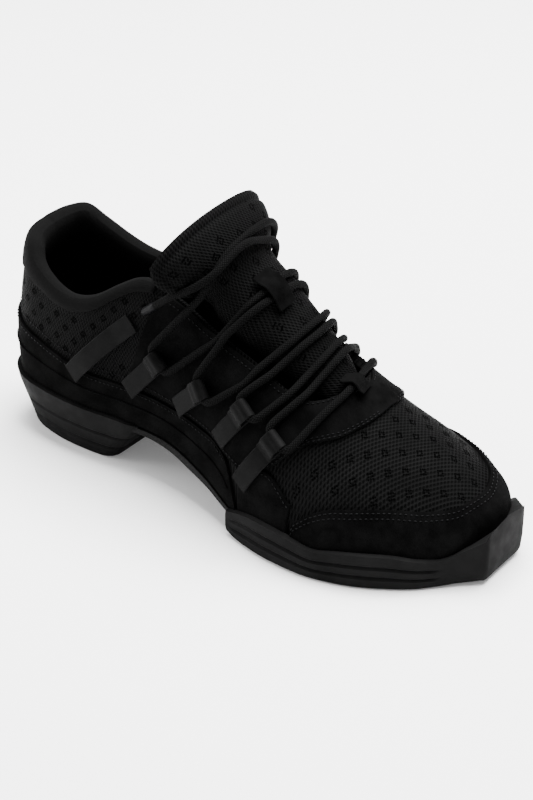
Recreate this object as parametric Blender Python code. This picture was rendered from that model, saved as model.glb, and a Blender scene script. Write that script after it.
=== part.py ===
"""Right split-sole dance sneaker with a zigzag cord lace, in metres.

+X points to the toe, +Y to the inner (medial) side of the foot and +Z up.  The origin is on the
floor under the heel.  Every piece is laid on one last, a skin read at (turn, rise).  turn runs from
-1 at the back of the heel, along the outer (lateral) side to 0 at the tip of the toe, and along the
inner side to +1 at the back of the heel again; 1 - |turn| is the station.  rise runs from 0 at the
feather line, where the upper meets the sole, to 1 on the ridge of the instep.  lift is the distance
out from the skin.  The upper's outside is at lift 0.
"""

from collections import namedtuple

import bpy
import bmesh
import numpy as np
from mathutils import Vector
from mathutils.bvhtree import BVHTree

# The last
LAST_LENGTH = 0.266
BALL_WIDTH = 0.094
HEEL_HEIGHT = 0.029
INSTEP_HEIGHT = 0.124
HEEL_SEAT = 0.042
RIDGE_FALL = 0.55

# Walls and gaps
UPPER_WALL = 0.0024
BOARD_WALL = 0.0035
INSOLE_WALL = 0.0040
OVERLAY_GAP = 0.0005
OVERLAY_WALL = 0.0010
STAY_GAP = 0.0008
STRAP_WALL = 0.0009
CLEARANCE = 0.0003

# Soles
BOARD_SPREAD = 0.0020
TRAY_SPREAD = 0.0029
SOLE_SPREAD = 0.0043
HEEL_LIP = 0.0006
BUMPER_REACH = 0.0055
BUMPER_FRONT = LAST_LENGTH - HEEL_SEAT + BUMPER_REACH
GROOVE = 0.0010

# Straps, lace and tongue
STRAP_WIDTH = 0.0098
STRAP_LIFT = 0.0025
STRAP_RETURN = 0.0085
LACE_WIDTH = 0.0036
LACE_GAP = 0.0005
LACE_SIDES = 6
LACE_SLACK = 0.00025
FAR_STRAP_WIDTH = 0.0052
KEEPER_WIDTH = 0.0076
KEEPER_LIFT = 0.0021
TIP_LENGTH = 0.012
TIP_WIDTH = 0.0042
TONGUE_WALL = 0.0060
TONGUE_EDGE = 0.0026
FAR_SHOULDER = 0.88

# Lengths along are shares of LAST_LENGTH; lateral, medial and swing of BALL_WIDTH; feather of
# HEEL_HEIGHT; ridge of INSTEP_HEIGHT.  wall, crown and bulge shape the section: how high its side
# stands before it turns, how flat its top is, and how far its side swells.
Section = namedtuple(
    "Section",
    "station along lateral medial swing feather ridge_along ridge wall crown bulge",
)
LAST = [
    Section(0.000, 0.0000, 0.000, 0.000, 0.000, 1.000, 0.180, 1.210, 0.45, 0.68, 0.10),
    Section(0.060, 0.0132, 0.165, 0.170, 0.000, 1.000, 0.182, 1.210, 0.45, 0.68, 0.10),
    Section(0.120, 0.0508, 0.272, 0.272, 0.000, 1.000, 0.190, 1.210, 0.45, 0.69, 0.09),
    Section(0.200, 0.1203, 0.330, 0.324, 0.000, 0.990, 0.205, 1.210, 0.45, 0.71, 0.08),
    Section(0.300, 0.2105, 0.346, 0.324, 0.000, 0.966, 0.245, 1.177, 0.45, 0.72, 0.06),
    Section(0.400, 0.3083, 0.330, 0.293, 0.005, 0.941, 0.330, 1.110, 0.46, 0.70, 0.05),
    Section(0.500, 0.4060, 0.334, 0.272, 0.010, 0.872, 0.420, 1.025, 0.48, 0.66, 0.04),
    Section(0.600, 0.5038, 0.408, 0.294, 0.020, 0.672, 0.518, 0.875, 0.48, 0.62, 0.04),
    Section(0.700, 0.6034, 0.514, 0.364, 0.030, 0.407, 0.615, 0.730, 0.49, 0.56, 0.04),
    Section(0.780, 0.6917, 0.572, 0.423, 0.035, 0.321, 0.706, 0.600, 0.50, 0.48, 0.04),
    Section(0.850, 0.7820, 0.569, 0.435, 0.042, 0.303, 0.776, 0.516, 0.52, 0.49, 0.04),
    Section(0.910, 0.8684, 0.481, 0.400, 0.050, 0.345, 0.828, 0.465, 0.56, 0.54, 0.04),
    Section(0.955, 0.9398, 0.331, 0.312, 0.054, 0.414, 0.860, 0.436, 0.60, 0.58, 0.04),
    Section(0.985, 0.9850, 0.161, 0.170, 0.055, 0.476, 0.874, 0.424, 0.62, 0.60, 0.04),
    Section(1.000, 1.0000, 0.000, 0.000, 0.055, 0.490, 0.878, 0.421, 0.62, 0.60, 0.04),
]

# The upper's top edge, and how far the collar's cuff reaches down from it outside, as shares of
# the section's height.  pad is the thickness of the collar's padding, in metres.
Top = namedtuple("Top", "station lateral medial cuff pad")
THROAT_END = 0.80
TOP = [
    Top(0.00, 0.595, 0.600, 0.150, 0.0060),
    Top(0.06, 0.590, 0.615, 0.145, 0.0060),
    Top(0.11, 0.570, 0.620, 0.110, 0.0055),
    Top(0.16, 0.510, 0.560, 0.070, 0.0050),
    Top(0.22, 0.465, 0.505, 0.055, 0.0045),
    Top(0.28, 0.460, 0.490, 0.050, 0.0040),
    Top(0.33, 0.510, 0.510, 0.045, 0.0035),
    Top(0.37, 0.590, 0.580, 0.040, 0.0030),
    Top(0.41, 0.665, 0.660, 0.040, 0.0025),
    Top(0.45, 0.695, 0.695, 0.035, 0.0020),
    Top(0.50, 0.705, 0.705, 0.0, 0.0),
    Top(0.56, 0.725, 0.725, 0.0, 0.0),
    Top(0.62, 0.765, 0.765, 0.0, 0.0),
    Top(0.68, 0.810, 0.810, 0.0, 0.0),
    Top(0.72, 0.825, 0.825, 0.0, 0.0),
    Top(0.75, 0.845, 0.845, 0.0, 0.0),
    Top(0.775, 0.890, 0.890, 0.0, 0.0),
    Top(0.79, 0.950, 0.950, 0.0, 0.0),
    Top(THROAT_END, 1.000, 1.000, 0.0, 0.0),
    Top(1.00, 1.000, 1.000, 0.0, 0.0),
]

# Edges of the overlays, as heights up the section
Edge = namedtuple("Edge", "station lateral medial")
FOXING = [
    Edge(0.00, 0.270, 0.270),
    Edge(0.07, 0.255, 0.255),
    Edge(0.13, 0.235, 0.235),
    Edge(0.22, 0.200, 0.200),
    Edge(0.31, 0.168, 0.168),
    Edge(0.42, 0.180, 0.180),
    Edge(0.51, 0.195, 0.195),
    Edge(0.59, 0.250, 0.250),
    Edge(0.635, 0.275, 0.275),
    Edge(0.66, 0.255, 0.255),
    Edge(0.675, 0.190, 0.190),
    Edge(0.688, 0.080, 0.080),
    Edge(0.693, 0.030, 0.030),
]
SIDE_PANEL = [
    Edge(0.698, 0.260, 0.260),
    Edge(0.720, 0.345, 0.345),
    Edge(0.752, 0.425, 0.425),
    Edge(0.775, 0.395, 0.395),
    Edge(0.799, 0.340, 0.340),
]
TOE_GUARD = [
    Edge(0.803, 0.060, 0.060),
    Edge(0.808, 0.200, 0.200),
    Edge(0.820, 0.300, 0.320),
    Edge(0.840, 0.400, 0.450),
    Edge(0.881, 0.507, 0.600),
    Edge(0.927, 0.594, 0.710),
    Edge(0.955, 0.620, 0.740),
    Edge(0.975, 0.655, 0.760),
    Edge(1.000, 0.745, 0.745),
]

# The throat stay, from its back edge to the ridge: outer edge, then inner edge
Stay = namedtuple("Stay", "outer_station outer inner_station inner")
STAY = [
    Stay(0.405, 0.200, 0.455, 0.655),
    Stay(0.440, 0.205, 0.480, 0.690),
    Stay(0.500, 0.215, 0.520, 0.700),
    Stay(0.555, 0.245, 0.560, 0.715),
    Stay(0.610, 0.285, 0.610, 0.745),
    Stay(0.655, 0.285, 0.650, 0.775),
    Stay(0.695, 0.300, 0.690, 0.805),
    Stay(0.722, 0.375, 0.722, 0.815),
    Stay(0.752, 0.455, 0.750, 0.835),
    Stay(0.772, 0.585, 0.768, 0.865),
    Stay(0.792, 0.705, 0.784, 0.915),
    Stay(0.828, 0.835, 0.797, 0.970),
    Stay(0.850, 0.950, 0.805, 0.992),
    Stay(0.858, 1.000, 0.807, 1.000),
]

# The tongue, from its top end to the end under the vamp, in metres: its crown, how far its
# shoulders stand out, and its lateral and medial edges
Flap = namedtuple("Flap", "crown_x crown_y crown_z shoulder edge_x lateral medial edge_z")
TONGUE = [
    Flap(0.0725, 0.0090, 0.1388, 0.0370, 0.0640, 0.0400, 0.0370, 0.1195),
    Flap(0.0785, 0.0080, 0.1350, 0.0385, 0.0672, 0.0400, 0.0370, 0.1120),
    Flap(0.0850, 0.0055, 0.1290, 0.0360, 0.0735, 0.0310, 0.0310, 0.1045),
    Flap(0.0888, 0.0035, 0.1246, 0.0330, 0.0780, 0.0200, 0.0190, 0.1005),
    Flap(0.0910, 0.0025, 0.1222, 0.0295, 0.0815, 0.0150, 0.0130, 0.0950),
    Flap(0.0940, 0.0025, 0.1194, 0.0270, 0.0860, 0.0145, 0.0125, 0.0850),
    Flap(0.1040, 0.0025, 0.1103, 0.0258, 0.0970, 0.0145, 0.0125, 0.0785),
    Flap(0.1160, 0.0025, 0.1000, 0.0242, 0.1090, 0.0150, 0.0130, 0.0735),
    Flap(0.1280, 0.0025, 0.0898, 0.0218, 0.1220, 0.0150, 0.0135, 0.0675),
    Flap(0.1380, 0.0025, 0.0813, 0.0185, 0.1330, 0.0140, 0.0130, 0.0620),
    Flap(0.1455, 0.0025, 0.0728, 0.0135, 0.1420, 0.0110, 0.0110, 0.0600),
    Flap(0.1505, 0.0025, 0.0668, 0.0095, 0.1480, 0.0085, 0.0095, 0.0595),
    Flap(0.1640, 0.0025, 0.0580, 0.0080, 0.1620, 0.0070, 0.0080, 0.0550),
]

# The straps: station and height of foot and head, and the lift of foot and head off the last
Strap = namedtuple("Strap", "foot_station foot head_station head foot_lift head_lift")
STRAPS = {
    "strap_lateral_1": Strap(0.283, 0.144, 0.408, 0.483, STRAP_LIFT, OVERLAY_GAP),
    "strap_lateral_2": Strap(0.410, 0.176, 0.483, 0.402, STRAP_LIFT, STRAP_LIFT),
    "strap_lateral_3": Strap(0.528, 0.239, 0.592, 0.475, STRAP_LIFT, STRAP_LIFT),
    "strap_lateral_4": Strap(0.641, 0.322, 0.690, 0.616, STRAP_LIFT, STRAP_LIFT),
    "strap_lateral_5": Strap(0.704, 0.231, 0.753, 0.613, STRAP_LIFT, STRAP_LIFT),
    "strap_medial_1": Strap(0.283, 0.144, 0.408, 0.483, STRAP_LIFT, OVERLAY_GAP),
    "strap_medial_2": Strap(0.445, 0.200, 0.510, 0.470, STRAP_LIFT, STRAP_LIFT),
    "strap_medial_3": Strap(0.545, 0.240, 0.598, 0.510, STRAP_LIFT, STRAP_LIFT),
    "strap_medial_4": Strap(0.612, 0.285, 0.655, 0.580, STRAP_LIFT, STRAP_LIFT),
    "strap_medial_5": Strap(0.675, 0.280, 0.708, 0.640, STRAP_LIFT, STRAP_LIFT),
}

# The soles' sides, from the floor up: height as a share, and how far out from the feather line
Tread = namedtuple("Tread", "height side back breast groove")
HEEL_SIDE = [
    Tread(0.00, -0.0036, -0.0080, 0.352, 0),
    Tread(0.05, -0.0025, -0.0065, 0.358, 0),
    Tread(0.22, -0.0014, -0.0040, 0.370, 0),
    Tread(0.26, -0.0012, -0.0036, 0.373, 1),
    Tread(0.30, -0.0009, -0.0030, 0.376, 0),
    Tread(0.50, 0.0004, -0.0008, 0.392, 0),
    Tread(0.54, 0.0007, -0.0004, 0.395, 1),
    Tread(0.58, 0.0010, 0.0002, 0.398, 0),
    Tread(0.85, 0.0032, 0.0028, 0.420, 0),
    Tread(1.00, 0.0040, 0.0036, 0.430, 0),
]
FORE_SIDE = [
    Tread(0.00, 0.0026, 0.0, 0.0, 0),
    Tread(0.06, 0.0038, 0.0, 0.0, 0),
    Tread(0.30, 0.0043, 0.0, 0.0, 0),
    Tread(0.37, 0.0043, 0.0, 0.0, 1),
    Tread(0.44, 0.0043, 0.0, 0.0, 0),
    Tread(0.60, 0.0043, 0.0, 0.0, 0),
    Tread(0.67, 0.0043, 0.0, 0.0, 1),
    Tread(0.74, 0.0043, 0.0, 0.0, 0),
    Tread(1.00, 0.0041, 0.0, 0.0, 0),
]
# The forefoot sole's underside and its top edge above the floor, in metres
Tier = namedtuple("Tier", "station under top")
FORE_SOLE = [
    Tier(0.680, 0.0020, 0.0135),
    Tier(0.700, 0.0004, 0.0150),
    Tier(0.720, 0.0, 0.0168),
    Tier(0.750, 0.0, 0.0182),
    Tier(0.780, 0.0, 0.0182),
    Tier(0.810, 0.0, 0.0172),
    Tier(0.840, 0.0, 0.0152),
    Tier(0.870, 0.0, 0.0168),
    Tier(0.900, 0.0, 0.0176),
    Tier(0.925, 0.0, 0.0172),
    Tier(0.945, 0.0, 0.0152),
    Tier(0.960, 0.0004, 0.0146),
    Tier(0.973, 0.0010, 0.0175),
    Tier(0.985, 0.0016, 0.0255),
    Tier(1.000, 0.0018, 0.0290),
]

STATIONS = (
    0.0, 0.03, 0.06, 0.09, 0.12, 0.16, 0.20, 0.25, 0.30, 0.34, 0.37, 0.40, 0.43, 0.46, 0.50,
    0.54, 0.58, 0.62, 0.66, 0.70, 0.73, 0.755, 0.775, 0.79, THROAT_END, 0.82, 0.85, 0.88, 0.91,
    0.935, 0.955, 0.97, 0.985, 1.0,
)
UPPER_ROWS = 13
STEP = 1e-4
NEAR_RIDGE = 0.97


def flow(table, column, station, odd=False):
    """A smooth curve through one column of a table; odd columns change sign past the two ends."""
    knots = np.array([row.station for row in table])
    values = np.array([getattr(row, column) for row in table])
    sign = -1.0 if odd else 1.0
    before = values[0] + sign * (values[1] - values[0])
    after = values[-1] + sign * (values[-2] - values[-1])
    knots = np.concatenate([[2 * knots[0] - knots[1]], knots, [2 * knots[-1] - knots[-2]]])
    values = np.concatenate([[before], values, [after]])
    slopes = np.gradient(values, knots)
    station = np.asarray(station, float)
    low = np.clip(np.searchsorted(knots, station) - 1, 0, len(knots) - 2)
    span = knots[low + 1] - knots[low]
    u = (station - knots[low]) / span
    return (
        (2 * u**3 - 3 * u**2 + 1) * values[low]
        + (u**3 - 2 * u**2 + u) * span * slopes[low]
        + (3 * u**2 - 2 * u**3) * values[low + 1]
        + (u**3 - u**2) * span * slopes[low + 1]
    )


def straight(table, column, station):
    """A straight-line reading of one column of a table."""
    rows = sorted(table, key=lambda row: row.station)
    return np.interp(station, [row.station for row in rows], [getattr(r, column) for r in rows])


def wrap(turn):
    return np.mod(np.asarray(turn, float) + 1.0, 2.0) - 1.0


def station_of(turn):
    return 1.0 - np.abs(wrap(turn))


def section_height(rise, wall):
    fall = 1.0 - rise
    return 3 * fall**2 * rise * wall + 3 * fall * rise**2 + rise**3


def section_inwards(rise, crown, bulge):
    fall = 1.0 - rise
    return 3 * fall**2 * rise * -bulge + 3 * fall * rise**2 * (1 - crown) + rise**3


def bare_skin(turn, rise):
    turn = wrap(turn)
    rise = np.asarray(rise, float)
    station = 1.0 - np.abs(turn)
    lateral = -flow(LAST, "lateral", station, odd=True)
    medial = flow(LAST, "medial", station, odd=True)
    ridge_x = flow(LAST, "ridge_along", station) * LAST_LENGTH - HEEL_SEAT
    ridge_y = flow(LAST, "swing", station) * BALL_WIDTH
    ridge_z = flow(LAST, "ridge", station) * INSTEP_HEIGHT
    foot_x = flow(LAST, "along", station) * LAST_LENGTH - HEEL_SEAT
    foot_y = ridge_y + np.where(turn < 0, lateral, medial) * BALL_WIDTH
    foot_z = flow(LAST, "feather", station) * HEEL_HEIGHT
    crown, bulge = flow(LAST, "crown", station), flow(LAST, "bulge", station)
    inwards = section_inwards(rise, crown, bulge)
    height = section_height(rise, flow(LAST, "wall", station))
    x = foot_x + (ridge_x - foot_x) * inwards
    y = foot_y + (ridge_y - foot_y) * inwards
    slope = RIDGE_FALL * np.clip((station - 0.45) / 0.2, 0, 1)
    z = foot_z + (ridge_z - foot_z) * height - slope * (x - ridge_x) * height**2
    return np.stack(np.broadcast_arrays(x, y, z), -1)


def unit(vectors):
    return vectors / np.linalg.norm(vectors, axis=-1, keepdims=True)


def side_normal(turn, rise):
    rise = np.minimum(rise, NEAR_RIDGE)
    along = bare_skin(turn + STEP, rise) - bare_skin(turn - STEP, rise)
    up = bare_skin(turn, rise + STEP) - bare_skin(turn, rise - STEP)
    return unit(np.cross(along, up))


def skin_normal(turn, rise):
    """Straight out of the last; the two sides share one direction on the ridge."""
    turn, rise = np.broadcast_arrays(np.asarray(turn, float), np.asarray(rise, float))
    share = np.clip((rise - NEAR_RIDGE) / (1 - NEAR_RIDGE), 0, 1)[..., None] * 0.5
    return unit(side_normal(turn, rise) * (1 - share) + side_normal(-turn, rise) * share)


def skin(turn, rise, lift=0.0):
    lift = np.asarray(lift, float)[..., None]
    return bare_skin(turn, rise) + skin_normal(turn, rise) * lift


def rise_at(turn, height):
    """The rise at which the section reaches this share of its height."""
    turn, height = np.broadcast_arrays(np.asarray(turn, float), np.asarray(height, float))
    wall = flow(LAST, "wall", station_of(turn))
    low, high = np.zeros(turn.shape), np.ones(turn.shape)
    for _ in range(30):
        middle = (low + high) / 2
        below = section_height(middle, wall) < height
        low, high = np.where(below, middle, low), np.where(below, high, middle)
    return np.where(height >= 1.0, 1.0, (low + high) / 2)


def edge_height(table, turn):
    turn = wrap(turn)
    station = 1.0 - np.abs(turn)
    lateral = np.clip(flow(table, "lateral", station), 0, 1)
    return np.where(turn < 0, lateral, np.clip(flow(table, "medial", station), 0, 1))


def top_height(turn):
    return np.where(station_of(turn) >= THROAT_END - 1e-6, 1.0, edge_height(TOP, turn))


def rise_per_metre(turn, rise):
    up = bare_skin(turn, rise + STEP) - bare_skin(turn, rise - STEP)
    return 2 * STEP / np.linalg.norm(up, axis=-1)


def turns_between(first, last, stations=STATIONS):
    """The stations' turns from first to last, both ends included."""
    every = sorted({s - 1 for s in stations} | {1 - s for s in stations})
    every = np.array(every + [turn + 2 for turn in every[1:]])
    inside = every[(every > first + 4e-3) & (every < last - 4e-3)]
    return np.concatenate([[first], inside, [last]])


def new_object(name, points, faces, home=None):
    mesh = bpy.data.meshes.new(name)
    mesh.from_pydata(np.asarray(points).tolist(), [], [tuple(map(int, f)) for f in faces])
    shape = bmesh.new()
    shape.from_mesh(mesh)
    weld(shape)
    bmesh.ops.recalc_face_normals(shape, faces=shape.faces)
    shape.to_mesh(mesh)
    shape.free()
    obj = bpy.data.objects.new(name, mesh)
    (home or PARTS).objects.link(obj)
    return obj


def weld(shape):
    """Joins points that meet, and takes out the faces that come to lie back to back."""
    target = bmesh.ops.find_doubles(shape, verts=shape.verts, dist=2e-6)["targetmap"]
    seen = {}
    for face in shape.faces:
        corners = frozenset(target.get(corner, corner) for corner in face.verts)
        seen.setdefault(corners, []).append(face)
    twins = [face for faces in seen.values() if len(faces) > 1 for face in faces]
    bmesh.ops.delete(shape, geom=twins, context="FACES_ONLY")
    bmesh.ops.weld_verts(shape, targetmap=target)
    bare = [edge for edge in shape.edges if not edge.link_faces]
    bmesh.ops.delete(shape, geom=bare, context="EDGES")


def slab(name, outer, inner, closed=False):
    """A solid between two grids of points; closed when the last column meets the first."""
    rows, columns = outer.shape[:2]
    count = rows * columns
    index = np.arange(count).reshape(rows, columns)
    faces = []
    for i in range(rows - 1):
        for j in range(columns - 1):
            quad = [index[i, j], index[i + 1, j], index[i + 1, j + 1], index[i, j + 1]]
            faces.append(quad)
            faces.append([corner + count for corner in reversed(quad)])
    for i in (0, rows - 1):
        for j in range(columns - 1):
            a, b = index[i, j], index[i, j + 1]
            faces.append([a, b, b + count, a + count])
    for j in () if closed else (0, columns - 1):
        for i in range(rows - 1):
            a, b = index[i, j], index[i + 1, j]
            faces.append([a, b, b + count, a + count])
    points = np.concatenate([outer.reshape(-1, 3), inner.reshape(-1, 3)])
    return new_object(name, points, faces)


def loft(name, rings, ladder=False, home=None):
    """A solid through rings of points.

    Its two ends are closed by one face each or, for an outline that runs along one side and back
    along the other, by a ladder of faces from side to side.
    """
    rings = np.asarray(rings)
    count, around = rings.shape[:2]
    faces = []
    for i in range(count - 1):
        for j in range(around):
            a, b = i * around + j, i * around + (j + 1) % around
            faces.append([a, b, b + around, a + around])
    for start in (0, (count - 1) * around):
        if ladder:
            for j in range(around // 2 - 1):
                a, b = start + j, start + around - 1 - j
                faces.append([a, a + 1, b - 1, b])
        else:
            faces.append([start + j for j in range(around)])
    return new_object(name, rings.reshape(-1, 3), faces, home)


def paint(obj, colour, roughness):
    material = bpy.data.materials.new(obj.name)
    material.use_nodes = True
    shader = material.node_tree.nodes["Principled BSDF"]
    shader.inputs["Base Color"].default_value = (*colour, 1.0)
    shader.inputs["Roughness"].default_value = roughness
    obj.data.materials.append(material)


def on_last(turns, low, high, rows, lift):
    """A grid of points over the last from one edge to the other, each a height for every turn."""
    low, high = rise_at(turns, low), rise_at(turns, high)
    rises = low + (high - low) * np.linspace(0, 1, rows)[:, None]
    return skin(np.broadcast_to(turns, rises.shape), rises, np.full(rises.shape, lift))


def panel(name, turns, low, high, rows, gap=OVERLAY_GAP, wall=OVERLAY_WALL, closed=False):
    outer = on_last(turns, low, high, rows, gap + wall)
    inner = on_last(turns, low, high, rows, gap)
    return slab(name, outer, inner, closed)


def make_upper():
    turns = turns_between(-1.0, 1.0)
    low, high = np.zeros(len(turns)), top_height(turns)
    outer = on_last(turns, low, high, UPPER_ROWS, 0.0)
    inner = on_last(turns, low, high, UPPER_ROWS, -UPPER_WALL)
    paint(slab("upper", outer, inner, closed=True), MESH_BLACK, 0.75)


def make_foxing():
    end = FOXING[-1].station
    turns = turns_between(1 - end, 1 + end)
    high = edge_height(FOXING, turns)
    paint(panel("foxing", turns, np.full(len(turns), 0.008), high, 5), SUEDE_BLACK, 0.85)


def make_side_panel(name, side):
    first, last = SIDE_PANEL[0].station, SIDE_PANEL[-1].station
    turns = side * (1 - np.array([first, 0.72, 0.752, 0.775, last]))
    high = edge_height(SIDE_PANEL, turns)
    low = np.full(len(turns), 0.008)
    paint(panel(name, turns, low, high, 5), SUEDE_BLACK, 0.85)


def make_toe_guard():
    start = TOE_GUARD[0].station
    stations = sorted({*STATIONS, start, 0.811})
    turns = turns_between(start - 1, 1 - start, stations)
    high = edge_height(TOE_GUARD, turns)
    low = np.full(len(turns), 0.008)
    paint(panel("toe_guard", turns, low, high, 6), SUEDE_BLACK, 0.85)


def make_throat_stay():
    table = np.array(STAY)
    columns = np.concatenate([table, table[-2::-1]])
    side = np.where(np.arange(len(columns)) < len(table) - 1, -1.0, 1.0)
    share = np.linspace(0, 1, 7)[:, None]
    station = columns[:, 0] + (columns[:, 2] - columns[:, 0]) * share
    turns = side * (1 - station)
    low, high = rise_at(turns, columns[:, 1]), rise_at(turns, columns[:, 3])
    rises = low + (high - low) * share
    outer = skin(turns, rises, np.full(turns.shape, STAY_GAP + OVERLAY_WALL))
    inner = skin(turns, rises, np.full(turns.shape, STAY_GAP))
    paint(slab("throat_stay", outer, inner), SUEDE_BLACK, 0.85)


def make_collar_cuff():
    """The padded collar: a thin cuff outside, a roll over the upper's edge and a pad inside."""
    end = 0.447
    turns = turns_between(1 - end, 1 + end)
    station = station_of(turns)
    top = rise_at(turns, top_height(turns))
    cuff = rise_at(turns, top_height(turns) - flow(TOP, "cuff", station))
    pad = flow(TOP, "pad", station)
    per_metre = rise_per_metre(turns, top)
    inside = -(UPPER_WALL + CLEARANCE)
    gap, wall = OVERLAY_GAP, OVERLAY_WALL
    path = [
        (cuff, gap + wall, cuff, gap),
        (top, gap + wall + 0.0002, top, gap),
        (top + 0.0016 * per_metre, gap + 0.6 * wall, top + 0.0004 * per_metre, gap),
        (top + 0.0026 * per_metre, inside / 2, top + 0.0004 * per_metre, inside / 2),
        (top + 0.0016 * per_metre, inside - 0.6 * pad, top + 0.0004 * per_metre, inside),
        (top - 0.0020 * per_metre, inside - pad, top - 0.0010 * per_metre, inside),
        (top - 0.0100 * per_metre, inside - pad, top - 0.0100 * per_metre, inside),
        (top - 0.0200 * per_metre, inside - 0.4 * pad - 0.0010, top - 0.0200 * per_metre, inside),
    ]
    lift = np.zeros(len(turns))
    outer = np.array([skin(turns, rise, lift + out) for rise, out, _, _ in path])
    inner = np.array([skin(turns, rise, lift + out) for _, _, rise, out in path])
    paint(slab("collar_cuff", outer, inner), LINING_BLACK, 0.6)


def grid_normal(grid):
    rows, columns = np.gradient(grid, axis=0), np.gradient(grid, axis=1)
    return unit(np.cross(rows, columns))


def make_tongue():
    share = np.array([0, 0.14, 0.30, 0.46, 0.62, 0.80, 1.0])
    outer = []
    for row in TONGUE:
        arch = []
        for side, edge_y in ((-1, -row.lateral), (1, row.medial)):
            crown = np.array([row.crown_x, row.crown_y, row.crown_z])
            edge = np.array([row.edge_x, edge_y, row.edge_z])
            shoulder = row.shoulder * (FAR_SHOULDER if side > 0 else 1)
            flat = crown + [0, side * shoulder * 0.75, 0]
            wing = (crown + edge) / 2
            wing[1] = side * shoulder
            u, fall = share[:, None], 1 - share[:, None]
            arch.append(
                fall**3 * crown + 3 * fall**2 * u * flat + 3 * fall * u**2 * wing + u**3 * edge
            )
        outer.append(np.concatenate([arch[0][::-1], arch[1][1:]]))
    outer = np.array(outer)
    across = np.concatenate([-share[::-1], share[1:]])
    along = np.linspace(0, 1, len(TONGUE))[:, None]
    wall = TONGUE_EDGE + (TONGUE_WALL - TONGUE_EDGE) * (1 - across**4)
    thin = np.clip(np.minimum(along + 0.055, 1.04 - along) / 0.12, 0.4, 1)
    inner = outer - grid_normal(outer) * (wall * thin)[..., None]
    paint(slab("tongue", outer, inner), MESH_BLACK, 0.75)


def outline(turns, spread):
    """The feather line pushed out level by spread."""
    line = bare_skin(turns, np.zeros(len(turns)))
    tangent = bare_skin(turns + STEP, 0.0) - bare_skin(turns - STEP, 0.0)
    tangent[:, 2] = 0
    tangent = unit(tangent)
    out = np.stack([tangent[:, 1], -tangent[:, 0], np.zeros(len(turns))], -1)
    return line + out * (np.zeros(len(turns)) + spread)[:, None]


def both_sides(stations):
    """Turns out along the lateral side and back along the medial one."""
    stations = np.asarray(stations, float)
    return np.concatenate([stations - 1, (1 - stations)[::-1]])


BOARD_STATIONS = (
    0.0, 0.05, 0.10, 0.16, 0.24, 0.33, 0.42, 0.50, 0.58, 0.64, 0.68, 0.72, 0.75, 0.79, 0.85, 0.90,
    0.94, 0.97, 0.99, 1.0,
)


def make_midsole():
    turns = both_sides(BOARD_STATIONS)
    waist = 0.0018 * np.clip(1 - np.abs(station_of(turns) - 0.555) / 0.105, 0, 1)
    rings = []
    for share, spread in ((1.0, BOARD_SPREAD - 0.0006), (0.8, BOARD_SPREAD), (0.0, BOARD_SPREAD)):
        ring = outline(turns, spread)
        ring[:, 2] -= CLEARANCE + (BOARD_WALL + waist) * share
        rings.append(ring)
    paint(loft("midsole", rings, ladder=True), BOARD_BLACK, 0.7)


def make_insole():
    turns = both_sides(BOARD_STATIONS)
    inset = -(UPPER_WALL + 0.0012)
    rings = []
    for height, spread in ((0.0, inset), (0.8, inset), (1.0, inset - 0.0008)):
        ring = outline(turns, spread)
        ring[:, 2] += 0.0002 + INSOLE_WALL * height
        rings.append(ring)
    paint(loft("insole", rings, ladder=True), LINING_BLACK, 0.8)


def make_tray():
    """The hollow that the soles keep free for the midsole and the foot of the upper."""
    turns = both_sides(sorted({*np.linspace(0, 0.9, 31), 0.93, 0.955, 0.975, 0.99, 1.0}))
    rings = []
    for height, spread in ((-BOARD_WALL - 2 * CLEARANCE, 0.0), (0.012, 0.0), (0.030, 0.0008)):
        ring = outline(turns, TRAY_SPREAD + spread)
        ring[:, 2] += height
        rings.append(ring)
    tray = loft("tray", rings, ladder=True, home=CUTTERS)
    tray.hide_render = True
    tray.display_type = "WIRE"
    return tray


def cut(obj, cutter):
    carve = obj.modifiers.new("tray", "BOOLEAN")
    carve.operation = "DIFFERENCE"
    carve.solver = "EXACT"
    carve.object = cutter


def make_heel_sole(tray):
    shares = np.array([0, 0.06, 0.13, 0.22, 0.33, 0.46, 0.60, 0.75, 0.88, 1.0])
    rings = []
    for row in HEEL_SIDE:
        turns = both_sides(shares * row.breast)
        station = station_of(turns)
        groove = GROOVE * row.groove * np.clip((station - 0.05) / 0.05, 0, 1)
        spread = row.side + (row.back - row.side) * np.exp(-((station / 0.13) ** 2)) - groove
        ring = outline(turns, spread)
        ring[:, 2] = (ring[:, 2] + HEEL_LIP) * row.height
        rings.append(ring)
    sole = loft("heel_sole", rings, ladder=True)
    cut(sole, tray)
    paint(sole, RUBBER_GREY, 0.55)


def make_forefoot_sole(tray):
    turns = both_sides([row.station for row in FORE_SOLE])
    station = station_of(turns)
    under = straight(FORE_SOLE, "under", station)
    top = straight(FORE_SOLE, "top", station)
    grooved = np.clip((station - 0.69) / 0.01, 0, 1) * np.clip((0.965 - station) / 0.01, 0, 1)
    rings = []
    for row in FORE_SIDE:
        ring = outline(turns, row.side - GROOVE * row.groove * grooved)
        front = station > 0.98
        ring[front, 0] = BUMPER_FRONT - (SOLE_SPREAD - row.side)
        corner = front & (station < 0.99)
        ring[corner, 1] = np.where(turns[corner] < 0, -0.0112, 0.0212)
        ring[:, 2] = under + (top - under) * row.height
        rings.append(ring)
    sole = loft("forefoot_sole", rings, ladder=True)
    cut(sole, tray)
    paint(sole, RUBBER_GREY, 0.55)


def place(side, station, height, lift=0.0):
    """A point off the last and the way out of it there; side is -1 lateral, 1 medial."""
    turn = side * (1 - station)
    rise = rise_at(turn, height)
    return skin(turn, rise, lift), skin_normal(turn, rise)


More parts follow.
